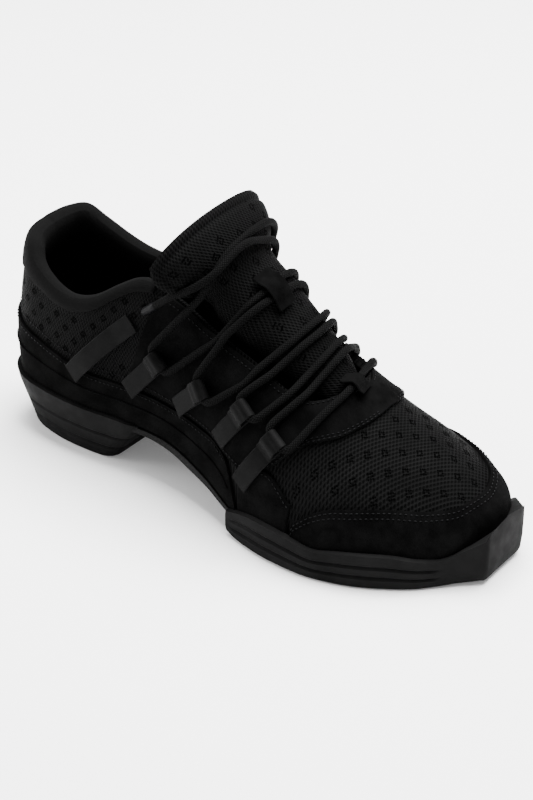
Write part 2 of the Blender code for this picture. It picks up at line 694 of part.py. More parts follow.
def ribbon(name, path, across, wall, width, home=None):
    """A flat strip along a path, laid with its width along across."""
    path = np.asarray(path)
    ahead = np.gradient(path, axis=0)
    across = unit(np.broadcast_to(across, path.shape))
    out = unit(np.cross(ahead, across))
    w, t = across * width / 2, out * wall / 2
    return loft(name, np.stack([path + w + t, path + w - t, path - w - t, path - w + t], 1))


def strap_width(name):
    return FAR_STRAP_WIDTH if "medial" in name and not name.endswith("_1") else STRAP_WIDTH


def strap_frame(name):
    """The head of a strap: the point on it, its way on, its way out and the way across."""
    row, side = STRAPS[name], -1 if "lateral" in name else 1
    head, out = place(side, row.head_station, row.head, row.head_lift + STRAP_WALL / 2)
    before, _ = place(side, row.head_station * 0.9 + row.foot_station * 0.1,
                      row.head * 0.9 + row.foot * 0.1, row.head_lift + STRAP_WALL / 2)
    ahead = unit(head - before)
    across = unit(np.cross(ahead, out))
    return head, ahead, np.cross(across, ahead), across


def make_strap(name, hooked):
    row, side = STRAPS[name], -1 if "lateral" in name else 1
    head, ahead, out, across = strap_frame(name)
    path = []
    for share in np.linspace(0, 1, 6):
        station = row.foot_station + (row.head_station - row.foot_station) * share
        height = row.foot + (row.head - row.foot) * share
        lift = row.foot_lift + (row.head_lift - row.foot_lift) * np.clip(share * 2 - 0.5, 0, 1)
        path.append(place(side, station, height, lift + STRAP_WALL / 2)[0])
    if hooked:
        radius = LACE_WIDTH / 2 + LACE_GAP + STRAP_WALL / 2
        centre = head + out * radius
        for angle in np.radians([-45, 0, 45, 90]):
            path.append(centre + (ahead * np.cos(angle) + out * np.sin(angle)) * radius)
        back = STRAP_WALL + CLEARANCE
        path.append(head + out * (back + radius) - ahead * STRAP_RETURN * 0.4)
        path.append(head + out * (back + 0.0006) - ahead * STRAP_RETURN * 0.8)
        path.append(head + out * back - ahead * STRAP_RETURN)
    paint(ribbon(name, path, across, STRAP_WALL, strap_width(name)), STRAP_BLACK, 0.5)


def loop_bends(name):
    """The cord's bend at each end of the loop at a strap's head, from inside out, heel side first."""
    head, ahead, out, across = strap_frame(name)
    centre = head + out * (LACE_WIDTH / 2 + LACE_GAP + STRAP_WALL / 2)
    across = across * np.sign(across[0])
    bends = []
    for side in (-1, 1):
        bend = [(-0.0010, 0.0), (0.0012, 0.0003), (0.0024, 0.0032)]
        half = strap_width(name) / 2
        bends.append([centre + side * across * (half + a) + ahead * b for a, b in bend])
    return bends


def hull_over(points):
    """The upper edge of the convex hull, from the first point to the last."""
    hull = []
    for point in points[np.argsort(points[:, 0], kind="stable")]:
        while len(hull) > 1:
            (ax, ay), (bx, by) = hull[-2], hull[-1]
            if (bx - ax) * (point[1] - ay) - (by - ay) * (point[0] - ax) < 0:
                break
            hull.pop()
        hull.append(point)
    return np.array(hull)


def taut(start, end, trees, laid):
    """A cord pulled tight from start to end over the pieces and the cords laid before it."""
    length = np.linalg.norm(end - start)
    along = (end - start) / length
    out = outwards(start) + outwards(end)
    up = unit(out - along * (out @ along))
    aside = np.cross(along, up)
    found = [(0.0, 0.0), (length, 0.0)]
    for share in np.linspace(0.02, 0.98, 97):
        base = start + (end - start) * share
        for tree in trees:
            hit, normal, _, _ = tree.ray_cast(Vector(base + up * 0.1), Vector(-up), 0.14)
            if hit is not None:
                away = np.array(hit + normal * (LACE_WIDTH / 2 + LACE_GAP)) - start
                found.append((away @ along, away @ up))
    for cord in laid:
        away = resample(cord, 0.001) - start
        off = away @ aside
        near = np.abs(off) < LACE_WIDTH + LACE_GAP
        rise = np.sqrt((LACE_WIDTH + LACE_GAP) ** 2 - off[near] ** 2)
        found += list(zip(away[near] @ along, away[near] @ up + rise))
    found = np.array(found)
    hull = hull_over(found[(found[:, 0] >= 0) & (found[:, 0] <= length)])
    return start + hull[:, :1] * along + hull[:, 1:] * up


def resample(path, step):
    path = np.asarray(path)
    reach = np.concatenate([[0], np.cumsum(np.linalg.norm(np.diff(path, axis=0), axis=1))])
    count = max(2, int(round(reach[-1] / step)) + 1)
    wanted = np.linspace(0, reach[-1], count)
    return np.stack([np.interp(wanted, reach, path[:, i]) for i in range(3)], 1)


def tube(name, path, width, sides=LACE_SIDES):
    path = np.asarray(path)
    ahead = unit(np.gradient(path, axis=0))
    side = unit(np.cross(ahead[0], outwards(path[0])))
    rings = []
    for point, way in zip(path, ahead):
        side = unit(side - way * (side @ way))
        other = np.cross(way, side)
        angle = np.arange(sides)[:, None] * 2 * np.pi / sides
        rings.append(point + (side * np.cos(angle) + other * np.sin(angle)) * width / 2)
    return loft(name, rings)


def covered_by(names):
    """Trees of the faces that the cord lies on."""
    trees = []
    for name in names:
        mesh = bpy.data.objects[name].data
        corners = [vertex.co for vertex in mesh.vertices]
        trees.append(BVHTree.FromPolygons(corners, [face.vertices for face in mesh.polygons]))
    return trees


def outwards(point):
    """Roughly the way out of the shoe at a point of its instep or sides."""
    return unit(np.array([0.3, point[1] / 0.034, 0.8]))


def rest_on(point, trees, lift, laid=()):
    """The point moved out until it stands this far off every piece, and clear of the cords laid."""
    point = np.array(point, float)
    for _ in range(5):
        for cord in laid:
            away = point - cord[np.linalg.norm(cord - point, axis=1).argmin()]
            far = np.linalg.norm(away)
            if far < LACE_WIDTH + LACE_GAP:
                away = unit(away / far + outwards(point) * 0.5)
                point = point + away * (LACE_WIDTH + LACE_GAP - far)
        for tree in trees:
            out = Vector(outwards(point))
            hit, normal, _, _ = tree.ray_cast(Vector(point) + out * 0.02, -out, 0.02)
            if hit is not None:
                point = np.array(hit + normal * lift)
            hit, normal, _, far = tree.find_nearest(Vector(point))
            if 1e-6 < far < lift:
                point = point + (point - np.array(hit)) / far * (lift - far)
    return point


def simplify(path, slack):
    """The path with the points left out that lie within slack of a straight line."""
    if len(path) < 3:
        return path
    ahead = unit(path[-1] - path[0])
    away = path - path[0]
    off = np.linalg.norm(away - np.outer(away @ ahead, ahead), axis=1)
    most = off.argmax()
    if off[most] < slack:
        return path[[0, -1]]
    return np.concatenate([simplify(path[: most + 1], slack)[:-1], simplify(path[most:], slack)])


def nearest(point, trees):
    """The point of the pieces closest to this one, and the way out there."""
    found = min((tree.find_nearest(Vector(point)) for tree in trees), key=lambda near: near[3])
    return np.array(found[0]), np.array(found[1])


def run(start, stops, end, trees, laid):
    """A cord from start to end by way of these stops, tight over what lies between them."""
    anchors = [start, *(rest_on(stop, trees, LACE_LIFT) for stop in stops), end]
    pieces = [taut(a, b, trees, laid) for a, b in zip(anchors, anchors[1:])]
    path = resample(np.concatenate([pieces[0], *(piece[1:] for piece in pieces[1:])]), 0.0015)
    middle = [rest_on(point, trees, LACE_LIFT, laid) for point in path[1:-1]]
    path = np.array([path[0], *middle, path[-1]])
    for _ in range(2):
        path[1:-1] = (path[:-2] + 2 * path[1:-1] + path[2:]) / 4
        path[1:-1] = [rest_on(point, trees, LACE_LIFT, laid) for point in path[1:-1]]
    laid.append(resample(path, 0.0008))
    return list(simplify(path, LACE_SLACK))


def make_lace():
    """One cord that zigzags through the straps' loops, and its free end."""
    trees = covered_by(("upper", "throat_stay", "tongue"))
    laid = []
    path = []
    for number, (near_stops, far_stops) in enumerate(LACE_STOPS, 2):
        far = loop_bends(f"strap_medial_{number}")
        near = loop_bends(f"strap_lateral_{number}")
        if number == 2:
            far = far[::-1]
        path += far[0][:-1][::-1] + far[1][:-1]
        path += run(far[1][-1], near_stops, near[0][-1], trees, laid)
        path += near[0][:-1][::-1] + near[1][:-1]
        if number < 5:
            end = loop_bends(f"strap_medial_{number + 1}")[0][-1]
        else:
            end, _ = place(1, *LACE_END, LACE_LIFT + STAY_GAP + OVERLAY_WALL)
        path += run(near[1][-1], far_stops, end, trees, laid)
    paint(tube("lace", path, LACE_WIDTH), LACE_BLACK, 0.6)
    start = loop_bends("strap_medial_2")[1][-1]
    tip = rest_on(FREE_TIP, trees, LACE_LIFT)
    run(start, [FREE_STOP], tip, trees, laid)
    free = resample(laid[-1], 0.001)
    stop = int(TIP_LENGTH / 0.001)
    paint(tube("lace_end", simplify(free[:-stop], LACE_SLACK), LACE_WIDTH), LACE_BLACK, 0.6)
    paint(tube("lace_tip", free[[1 - stop, -1]], TIP_WIDTH), LACE_BLACK, 0.35)
    for name, cords, middle in KEEPERS:
        make_keeper(name, [laid[cord] for cord in cords], np.array(middle), trees)


def make_keeper(name, cords, middle, trees):
    """A short band that arches over cords near this middle, its feet laid beside them."""
    at = [np.linalg.norm(cord - middle, axis=1).argmin() for cord in cords]
    points = np.array([cord[here] for cord, here in zip(cords, at)])
    ways = [unit(cord[here + 4] - cord[here - 4]) for cord, here in zip(cords, at)]
    along = unit(sum(way * np.sign(way @ ways[0]) for way in ways))
    centre = points.mean(axis=0)
    across = unit(np.cross(nearest(centre, trees)[1], along))
    out = np.cross(along, across)
    spread = np.abs((points - centre) @ across).max()
    reach = LACE_WIDTH / 2 + LACE_GAP + STRAP_WALL / 2
    path = []
    for side in (-1, 1):
        half = []
        for beyond in (0.0050, 0.0024):
            foot = nearest(centre + side * across * (spread + reach + beyond), trees)
            half.append(foot[0] + foot[1] * KEEPER_LIFT)
        half.append(centre + side * across * (spread + reach + 0.0004) + out * 0.0004)
        half.append(centre + side * across * (spread + reach * 0.4) + out * (reach + 0.0004))
        path += half[::-side]
    paint(ribbon(name, path, along, STRAP_WALL, KEEPER_WIDTH), STRAP_BLACK, 0.5)


LACE_LIFT = LACE_WIDTH / 2 + LACE_GAP
# Where the cord bends or is held on its way to each lateral loop and away from it, in metres
LACE_STOPS = [
    ([(0.0806, -0.0280, 0.1007)], [(0.0925, -0.0265, 0.0857), (0.1044, -0.0099, 0.1063)]),
    ([(0.1078, -0.0092, 0.1036), (0.0970, -0.0200, 0.0858)], [(0.1129, -0.0311, 0.0728)]),
    ([(0.1192, -0.0299, 0.0729)], [(0.1343, -0.0088, 0.0813), (0.1330, -0.0190, 0.0700)][::-1]),
    ([(0.1386, -0.0077, 0.0776), (0.1370, -0.0205, 0.0670)], [(0.1514, -0.0094, 0.0708)]),
]
LACE_END = (0.765, 0.770)
FREE_STOP = (0.0828, -0.0245, 0.1098)
FREE_TIP = (0.0506, -0.0257, 0.0875)
# The bands that hold the cord down: the runs of cord they arch over, and where
KEEPERS = [
    ("keeper_mid", (1, 2), (0.1063, -0.0048, 0.1073)),
    ("keeper_low", (7,), (0.1499, -0.0033, 0.0706)),
]

RUBBER_GREY = (0.045, 0.045, 0.047)
MESH_BLACK = (0.010, 0.010, 0.011)
SUEDE_BLACK = (0.006, 0.006, 0.006)
LINING_BLACK = (0.010, 0.010, 0.010)
BOARD_BLACK = (0.005, 0.005, 0.005)
STRAP_BLACK = (0.018, 0.018, 0.019)
LACE_BLACK = (0.020, 0.020, 0.021)

for old in list(bpy.data.objects):
    bpy.data.objects.remove(old)
PARTS = bpy.data.collections.new("dance_sneaker")
CUTTERS = bpy.data.collections.new("cutters")
for group in (PARTS, CUTTERS):
    bpy.context.scene.collection.children.link(group)

make_upper()
make_tongue()
make_foxing()
make_side_panel("side_panel_lateral", -1)
make_side_panel("side_panel_medial", 1)
make_toe_guard()
make_throat_stay()
make_collar_cuff()
make_midsole()
make_insole()
for strap_name in STRAPS:
    make_strap(strap_name, not strap_name.endswith("_1"))
make_lace()
TRAY = make_tray()
make_forefoot_sole(TRAY)
make_heel_sole(TRAY)
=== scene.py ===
"""Looks of a right split-sole dance sneaker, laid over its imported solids.

+X points to the toe, +Y to the inner (medial) side of the foot and +Z up, in metres.  The pieces
are laid on one last, a skin read at (turn, rise): turn runs round the feather line from the back of
the heel, along the outer side, past the toe and back, and rise climbs from the feather line to the
ridge of the instep.
"""

import math
from collections import namedtuple
from itertools import product

import bmesh
import bpy
import numpy as np
from bpy.props import FloatProperty, FloatVectorProperty, IntProperty, PointerProperty
from mathutils import Matrix, Vector
from mathutils.bvhtree import BVHTree


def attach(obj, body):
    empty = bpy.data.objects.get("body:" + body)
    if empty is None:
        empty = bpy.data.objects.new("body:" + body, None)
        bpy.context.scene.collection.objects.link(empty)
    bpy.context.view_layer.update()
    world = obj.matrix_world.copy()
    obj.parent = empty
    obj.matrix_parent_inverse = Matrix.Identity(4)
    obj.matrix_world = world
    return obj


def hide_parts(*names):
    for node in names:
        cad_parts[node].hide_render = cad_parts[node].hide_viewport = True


bl_info = {
    "name": "Dance Sneaker Looks",
    "version": (1, 0, 0),
    "blender": (4, 5, 0),
    "location": "View3D > Sidebar > Sneaker",
    "description": "Builds the visible pieces of a split-sole dance sneaker over its solids",
    "category": "Object",
}

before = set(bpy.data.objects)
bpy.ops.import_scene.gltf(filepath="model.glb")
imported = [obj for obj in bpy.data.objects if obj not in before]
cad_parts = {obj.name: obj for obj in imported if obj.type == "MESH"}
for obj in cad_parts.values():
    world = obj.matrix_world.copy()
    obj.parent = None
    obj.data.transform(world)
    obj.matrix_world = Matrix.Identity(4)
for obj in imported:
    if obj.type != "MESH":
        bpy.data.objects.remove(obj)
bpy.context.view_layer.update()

# The last
LAST_LENGTH = 0.266
BALL_WIDTH = 0.094
HEEL_HEIGHT = 0.029
INSTEP_HEIGHT = 0.124
HEEL_SEAT = 0.042
RIDGE_FALL = 0.55

# Walls, gaps and lifts off the last
UPPER_WALL = 0.0024
BOARD_WALL = 0.0035
INSOLE_WALL = 0.0040
INSOLE_GAP = 0.0002
OVERLAY_GAP = 0.0005
OVERLAY_WALL = 0.0010
SUEDE_LIFT = 0.0015
SUEDE_WALL = 0.0018
SUEDE_ROUND = 0.0005
PANEL_LIFT = 0.0013
PANEL_WALL = 0.0016
PANEL_ROUND = 0.0004
STAY_GAP = 0.0008
STRAP_WALL = 0.0009
CLEARANCE = 0.0003

# Soles; the toe block's corners are the outer one, then the inner one
BOARD_SPREAD = 0.0020
BOARD_ROUND = 0.0005
TRAY_SPREAD = 0.0009
TRAY_FLARE = 0.0008
SOLE_SPREAD = 0.0043
SOLE_ROUND = 0.0006
HEEL_LIP = 0.0006
BREAST_ROUND = 0.0065
BUMPER_REACH = 0.0055
BUMPER_FRONT = LAST_LENGTH - HEEL_SEAT + BUMPER_REACH
BUMPER_CORNERS = (-0.0112, 0.0212)
BUMPER_ROUND = (0.0012, 0.0040)
BUMPER_RISE = 0.0030
GROOVE = 0.0010

# Straps, lace, tongue and trims
STRAP_WIDTH = 0.0098
STRAP_LIFT = 0.0025
STRAP_RETURN = 0.0085
FAR_STRAP_WIDTH = 0.0052
KEEPER_WIDTH = 0.0110
LACE_WIDTH = 0.0036
LACE_GAP = 0.0005
LACE_STEP = 0.0012
TIP_LENGTH = 0.012
TIP_WIDTH = 0.0042
TONGUE_WALL = 0.0060
TONGUE_EDGE = 0.0026
TONGUE_ROUND = 0.0008
FAR_SHOULDER = 0.88
PIPING_WIDTH = 0.0013
PIPING_HEIGHT = 0.56
PIPING_LIFT = 0.0016
SEAM_INSET = 0.0016
SECOND_SEAM_INSET = 0.0040
MESH_SEAM_INSET = -0.0045
MESH_SEAM_LIFT = 0.0003
THREAD_LIFT = 0.0002
HOLE_STEP = 0.0010
DIAGONAL = 0.7071

# The stage: white world, area lamps by place, size and watts, and the camera in degrees
WORLD_LIGHT = 0.62
LAMPS = [
    ("overhead_softbox", (0.15, 0.40, 1.45), (1.4, 1.3), 165.0),
    ("toe_softbox", (1.3, 0.15, 0.5), (0.8, 0.8), 1.2),
    ("heel_softbox", (-1.2, -0.5, 0.35), (0.8, 0.6), 24.0),
]
LAMPS_AIM = (0.09, 0.0, 0.05)
FLOOR_REACH = 3.0
CAMERA_AIM = (0.0995, 0.0007, 0.045)
CAMERA_DISTANCE = 0.950
CAMERA_TURN, CAMERA_TILT, CAMERA_ROLL = 36.0, 30.2, 0.3
SENSOR = 36
LENS = 2020 / 800 * SENSOR

# Lengths along are shares of LAST_LENGTH; lateral, medial and swing of BALL_WIDTH; feather of
# HEEL_HEIGHT; ridge of INSTEP_HEIGHT.  wall, crown and bulge shape the section: how high its side
# stands before it turns, how flat its top is, and how far its side swells.
Section = namedtuple(
    "Section",
    "station along lateral medial swing feather ridge_along ridge wall crown bulge",
)
LAST = [
    Section(0.000, 0.0000, 0.000, 0.000, 0.000, 1.000, 0.180, 1.210, 0.45, 0.68, 0.10),
    Section(0.060, 0.0132, 0.165, 0.170, 0.000, 1.000, 0.182, 1.210, 0.45, 0.68, 0.10),
    Section(0.120, 0.0508, 0.272, 0.272, 0.000, 1.000, 0.190, 1.210, 0.45, 0.69, 0.09),
    Section(0.200, 0.1203, 0.330, 0.324, 0.000, 0.990, 0.205, 1.210, 0.45, 0.71, 0.08),
    Section(0.300, 0.2105, 0.346, 0.324, 0.000, 0.966, 0.245, 1.177, 0.45, 0.72, 0.06),
    Section(0.400, 0.3083, 0.330, 0.293, 0.005, 0.941, 0.330, 1.110, 0.46, 0.70, 0.05),
    Section(0.500, 0.4060, 0.334, 0.272, 0.010, 0.872, 0.420, 1.025, 0.48, 0.66, 0.04),
    Section(0.600, 0.5038, 0.408, 0.294, 0.020, 0.672, 0.518, 0.875, 0.48, 0.62, 0.04),
    Section(0.700, 0.6034, 0.514, 0.364, 0.030, 0.407, 0.615, 0.730, 0.49, 0.56, 0.04),
    Section(0.780, 0.6917, 0.572, 0.423, 0.035, 0.321, 0.706, 0.600, 0.50, 0.48, 0.04),
    Section(0.850, 0.7820, 0.569, 0.435, 0.042, 0.303, 0.776, 0.516, 0.52, 0.49, 0.04),
    Section(0.910, 0.8684, 0.481, 0.400, 0.050, 0.345, 0.828, 0.465, 0.56, 0.54, 0.04),
    Section(0.955, 0.9398, 0.331, 0.312, 0.054, 0.414, 0.860, 0.436, 0.60, 0.58, 0.04),
    Section(0.985, 0.9850, 0.161, 0.170, 0.055, 0.476, 0.874, 0.424, 0.62, 0.60, 0.04),
    Section(1.000, 1.0000, 0.000, 0.000, 0.055, 0.490, 0.878, 0.421, 0.62, 0.60, 0.04),
]

# The upper's top edge, and how far the collar's cuff reaches down from it outside, as shares of
# the section's height.  pad is the thickness of the collar's padding, in metres.
Top = namedtuple("Top", "station lateral medial cuff pad")
THROAT_END = 0.80
TOP = [
    Top(0.00, 0.595, 0.600, 0.150, 0.0060),
    Top(0.06, 0.590, 0.615, 0.145, 0.0060),
    Top(0.11, 0.570, 0.620, 0.110, 0.0055),
    Top(0.16, 0.510, 0.560, 0.070, 0.0050),
    Top(0.22, 0.465, 0.505, 0.055, 0.0045),
    Top(0.28, 0.460, 0.490, 0.050, 0.0040),
    Top(0.33, 0.510, 0.510, 0.045, 0.0035),
    Top(0.37, 0.590, 0.580, 0.040, 0.0030),
    Top(0.41, 0.665, 0.660, 0.040, 0.0025),
    Top(0.45, 0.695, 0.695, 0.035, 0.0020),
    Top(0.50, 0.705, 0.705, 0.0, 0.0),
    Top(0.56, 0.725, 0.725, 0.0, 0.0),
    Top(0.62, 0.765, 0.765, 0.0, 0.0),
    Top(0.68, 0.810, 0.810, 0.0, 0.0),
    Top(0.72, 0.825, 0.825, 0.0, 0.0),
    Top(0.75, 0.845, 0.845, 0.0, 0.0),
    Top(0.775, 0.890, 0.890, 0.0, 0.0),
    Top(0.79, 0.950, 0.950, 0.0, 0.0),
    Top(THROAT_END, 1.000, 1.000, 0.0, 0.0),
    Top(1.00, 1.000, 1.000, 0.0, 0.0),
]

# Edges of the overlays, as heights up the section
Edge = namedtuple("Edge", "station lateral medial")
FOXING = [
    Edge(0.00, 0.270, 0.270),
    Edge(0.07, 0.255, 0.255),
    Edge(0.13, 0.235, 0.235),
    Edge(0.22, 0.200, 0.200),
    Edge(0.31, 0.168, 0.168),
    Edge(0.42, 0.180, 0.180),
    Edge(0.51, 0.195, 0.195),
    Edge(0.59, 0.250, 0.250),
    Edge(0.635, 0.275, 0.275),
    Edge(0.66, 0.255, 0.255),
    Edge(0.675, 0.190, 0.190),
    Edge(0.688, 0.080, 0.080),
    Edge(0.693, 0.030, 0.030),
]
SIDE_PANEL = [
    Edge(0.698, 0.260, 0.260),
    Edge(0.720, 0.345, 0.345),
    Edge(0.752, 0.425, 0.425),
    Edge(0.775, 0.395, 0.395),
    Edge(0.799, 0.340, 0.340),
]
TOE_GUARD = [
    Edge(0.803, 0.060, 0.060),
    Edge(0.808, 0.200, 0.200),
    Edge(0.820, 0.300, 0.320),
    Edge(0.840, 0.400, 0.450),
    Edge(0.881, 0.507, 0.600),
    Edge(0.927, 0.594, 0.710),
    Edge(0.955, 0.620, 0.740),
    Edge(0.975, 0.655, 0.760),
    Edge(1.000, 0.745, 0.745),
]

# The throat stay, from its back edge to the ridge: outer edge, then inner edge
Stay = namedtuple("Stay", "outer_station outer inner_station inner")
STAY = [
    Stay(0.405, 0.200, 0.455, 0.655),
    Stay(0.440, 0.205, 0.480, 0.690),
    Stay(0.500, 0.215, 0.520, 0.700),
    Stay(0.555, 0.245, 0.560, 0.715),
    Stay(0.610, 0.285, 0.610, 0.745),
    Stay(0.655, 0.285, 0.650, 0.775),
    Stay(0.695, 0.300, 0.690, 0.805),
    Stay(0.722, 0.375, 0.722, 0.815),
    Stay(0.752, 0.455, 0.750, 0.835),
    Stay(0.772, 0.585, 0.768, 0.865),
    Stay(0.792, 0.705, 0.784, 0.915),
    Stay(0.828, 0.835, 0.797, 0.970),
    Stay(0.850, 0.950, 0.805, 0.992),
    Stay(0.858, 1.000, 0.807, 1.000),
]

# The tongue, from its top end to the end under the vamp, in metres: its crown, how far its
# shoulders stand out, and its lateral and medial edges
Flap = namedtuple("Flap", "crown_x crown_y crown_z shoulder edge_x lateral medial edge_z")
TONGUE = [
    Flap(0.0725, 0.0090, 0.1388, 0.0370, 0.0640, 0.0400, 0.0370, 0.1195),
    Flap(0.0785, 0.0080, 0.1350, 0.0385, 0.0672, 0.0400, 0.0370, 0.1120),
    Flap(0.0850, 0.0055, 0.1290, 0.0360, 0.0735, 0.0310, 0.0310, 0.1045),
    Flap(0.0888, 0.0035, 0.1246, 0.0330, 0.0780, 0.0200, 0.0190, 0.1005),
    Flap(0.0910, 0.0025, 0.1222, 0.0295, 0.0815, 0.0150, 0.0130, 0.0950),
    Flap(0.0940, 0.0025, 0.1194, 0.0270, 0.0860, 0.0145, 0.0125, 0.0850),
    Flap(0.1040, 0.0025, 0.1103, 0.0258, 0.0970, 0.0145, 0.0125, 0.0785),
    Flap(0.1160, 0.0025, 0.1000, 0.0242, 0.1090, 0.0150, 0.0130, 0.0735),
    Flap(0.1280, 0.0025, 0.0898, 0.0218, 0.1220, 0.0150, 0.0135, 0.0675),
    Flap(0.1380, 0.0025, 0.0813, 0.0185, 0.1330, 0.0140, 0.0130, 0.0620),
    Flap(0.1455, 0.0025, 0.0728, 0.0135, 0.1420, 0.0110, 0.0110, 0.0600),
    Flap(0.1505, 0.0025, 0.0668, 0.0095, 0.1480, 0.0085, 0.0095, 0.0595),
    Flap(0.1640, 0.0025, 0.0580, 0.0080, 0.1620, 0.0070, 0.0080, 0.0550),
]

# The straps: station and height of foot and head, and the lift of foot and head off the last
Strap = namedtuple("Strap", "foot_station foot head_station head foot_lift head_lift")
STRAPS = {
    "strap_lateral_1": Strap(0.283, 0.144, 0.408, 0.483, STRAP_LIFT, OVERLAY_GAP),
    "strap_lateral_2": Strap(0.410, 0.176, 0.483, 0.402, STRAP_LIFT, STRAP_LIFT),
    "strap_lateral_3": Strap(0.528, 0.239, 0.592, 0.475, STRAP_LIFT, STRAP_LIFT),
    "strap_lateral_4": Strap(0.641, 0.322, 0.690, 0.616, STRAP_LIFT, STRAP_LIFT),
    "strap_lateral_5": Strap(0.704, 0.231, 0.753, 0.613, STRAP_LIFT, STRAP_LIFT),
    "strap_medial_1": Strap(0.283, 0.144, 0.408, 0.483, STRAP_LIFT, OVERLAY_GAP),
    "strap_medial_2": Strap(0.445, 0.200, 0.510, 0.470, STRAP_LIFT, STRAP_LIFT),
    "strap_medial_3": Strap(0.545, 0.240, 0.598, 0.510, STRAP_LIFT, STRAP_LIFT),
    "strap_medial_4": Strap(0.612, 0.285, 0.655, 0.580, STRAP_LIFT, STRAP_LIFT),
    "strap_medial_5": Strap(0.675, 0.280, 0.708, 0.640, STRAP_LIFT, STRAP_LIFT),
}

# The soles' sides, from the floor up: height as a share, and how far out from the feather line
Tread = namedtuple("Tread", "height side back breast groove")
HEEL_SIDE = [
    Tread(0.00, -0.0042, -0.0086, 0.350, 0),
    Tread(0.03, -0.0028, -0.0070, 0.358, 0),
    Tread(0.08, -0.0021, -0.0058, 0.363, 0),
    Tread(0.14, -0.0018, -0.0050, 0.367, 0),
    Tread(0.22, -0.0014, -0.0040, 0.370, 0),
    Tread(0.26, -0.0012, -0.0036, 0.373, 1),
    Tread(0.30, -0.0009, -0.0030, 0.376, 0),
    Tread(0.50, 0.0004, -0.0008, 0.392, 0),
    Tread(0.54, 0.0007, -0.0004, 0.395, 1),
    Tread(0.58, 0.0010, 0.0002, 0.398, 0),
    Tread(0.85, 0.0032, 0.0028, 0.420, 0),
    Tread(1.00, 0.0040, 0.0036, 0.430, 0),
]
FORE_SIDE = [
    Tread(0.00, 0.0026, 0.0, 0.0, 0),
    Tread(0.06, 0.0038, 0.0, 0.0, 0),
    Tread(0.30, 0.0043, 0.0, 0.0, 0),
    Tread(0.37, 0.0043, 0.0, 0.0, 1),
    Tread(0.44, 0.0043, 0.0, 0.0, 0),
    Tread(0.60, 0.0043, 0.0, 0.0, 0),
    Tread(0.67, 0.0043, 0.0, 0.0, 1),
    Tread(0.74, 0.0043, 0.0, 0.0, 0),
    Tread(1.00, 0.0041, 0.0, 0.0, 0),
]
# The forefoot sole's underside and its top edge above the floor, in metres
Tier = namedtuple("Tier", "station under top")
FORE_SOLE = [
    Tier(0.680, 0.0020, 0.0135),
    Tier(0.700, 0.0004, 0.0150),
    Tier(0.720, 0.0, 0.0168),
    Tier(0.750, 0.0, 0.0182),
    Tier(0.780, 0.0, 0.0182),
    Tier(0.810, 0.0, 0.0172),
    Tier(0.840, 0.0, 0.0152),
    Tier(0.870, 0.0, 0.0168),
    Tier(0.900, 0.0, 0.0176),
    Tier(0.925, 0.0, 0.0172),
    Tier(0.945, 0.0, 0.0152),
    Tier(0.960, 0.0004, 0.0146),
    Tier(0.973, 0.0010, 0.0175),
    Tier(0.985, 0.0016, 0.0255),
    Tier(1.000, 0.0018, 0.0290),
]

STATIONS = (
    0.0, 0.03, 0.06, 0.09, 0.12, 0.16, 0.20, 0.25, 0.30, 0.34, 0.37, 0.40, 0.43, 0.46, 0.50,
    0.54, 0.58, 0.62, 0.66, 0.70, 0.73, 0.755, 0.775, 0.79, THROAT_END, 0.82, 0.85, 0.88, 0.91,
    0.935, 0.955, 0.97, 0.985, 1.0,
)
STEP = 1e-4
NEAR_RIDGE = 0.97


def cubic(first, last, first_slope, last_slope, u):
    """The smooth curve from first to last with these slopes, read at share u."""
    return (
        (2 * u**3 - 3 * u**2 + 1) * first
        + (u**3 - 2 * u**2 + u) * first_slope
        + (3 * u**2 - 2 * u**3) * last
        + (u**3 - u**2) * last_slope
    )


def flow(table, column, station, odd=False):
    """A smooth curve through one column of a table; odd columns change sign past the two ends."""
    knots = np.array([row.station for row in table])
    values = np.array([getattr(row, column) for row in table])
    sign = -1.0 if odd else 1.0
    before = values[0] + sign * (values[1] - values[0])
    after = values[-1] + sign * (values[-2] - values[-1])
    knots = np.concatenate([[2 * knots[0] - knots[1]], knots, [2 * knots[-1] - knots[-2]]])
    values = np.concatenate([[before], values, [after]])
    slopes = np.gradient(values, knots)
    station = np.asarray(station, float)
    low = np.clip(np.searchsorted(knots, station) - 1, 0, len(knots) - 2)
    span = knots[low + 1] - knots[low]
    u = (station - knots[low]) / span
    return cubic(values[low], values[low + 1], span * slopes[low], span * slopes[low + 1], u)


def straight(table, column, station):
    """A straight-line reading of one column of a table."""
    rows = sorted(table, key=lambda row: row.station)
    return np.interp(station, [row.station for row in rows], [getattr(r, column) for r in rows])


def wrap(turn):
    return np.mod(np.asarray(turn, float) + 1.0, 2.0) - 1.0


def station_of(turn):
    return 1.0 - np.abs(wrap(turn))


def section_height(rise, wall):
    fall = 1.0 - rise
    return 3 * fall**2 * rise * wall + 3 * fall * rise**2 + rise**3


def section_inwards(rise, crown, bulge):
    fall = 1.0 - rise
    return 3 * fall**2 * rise * -bulge + 3 * fall * rise**2 * (1 - crown) + rise**3


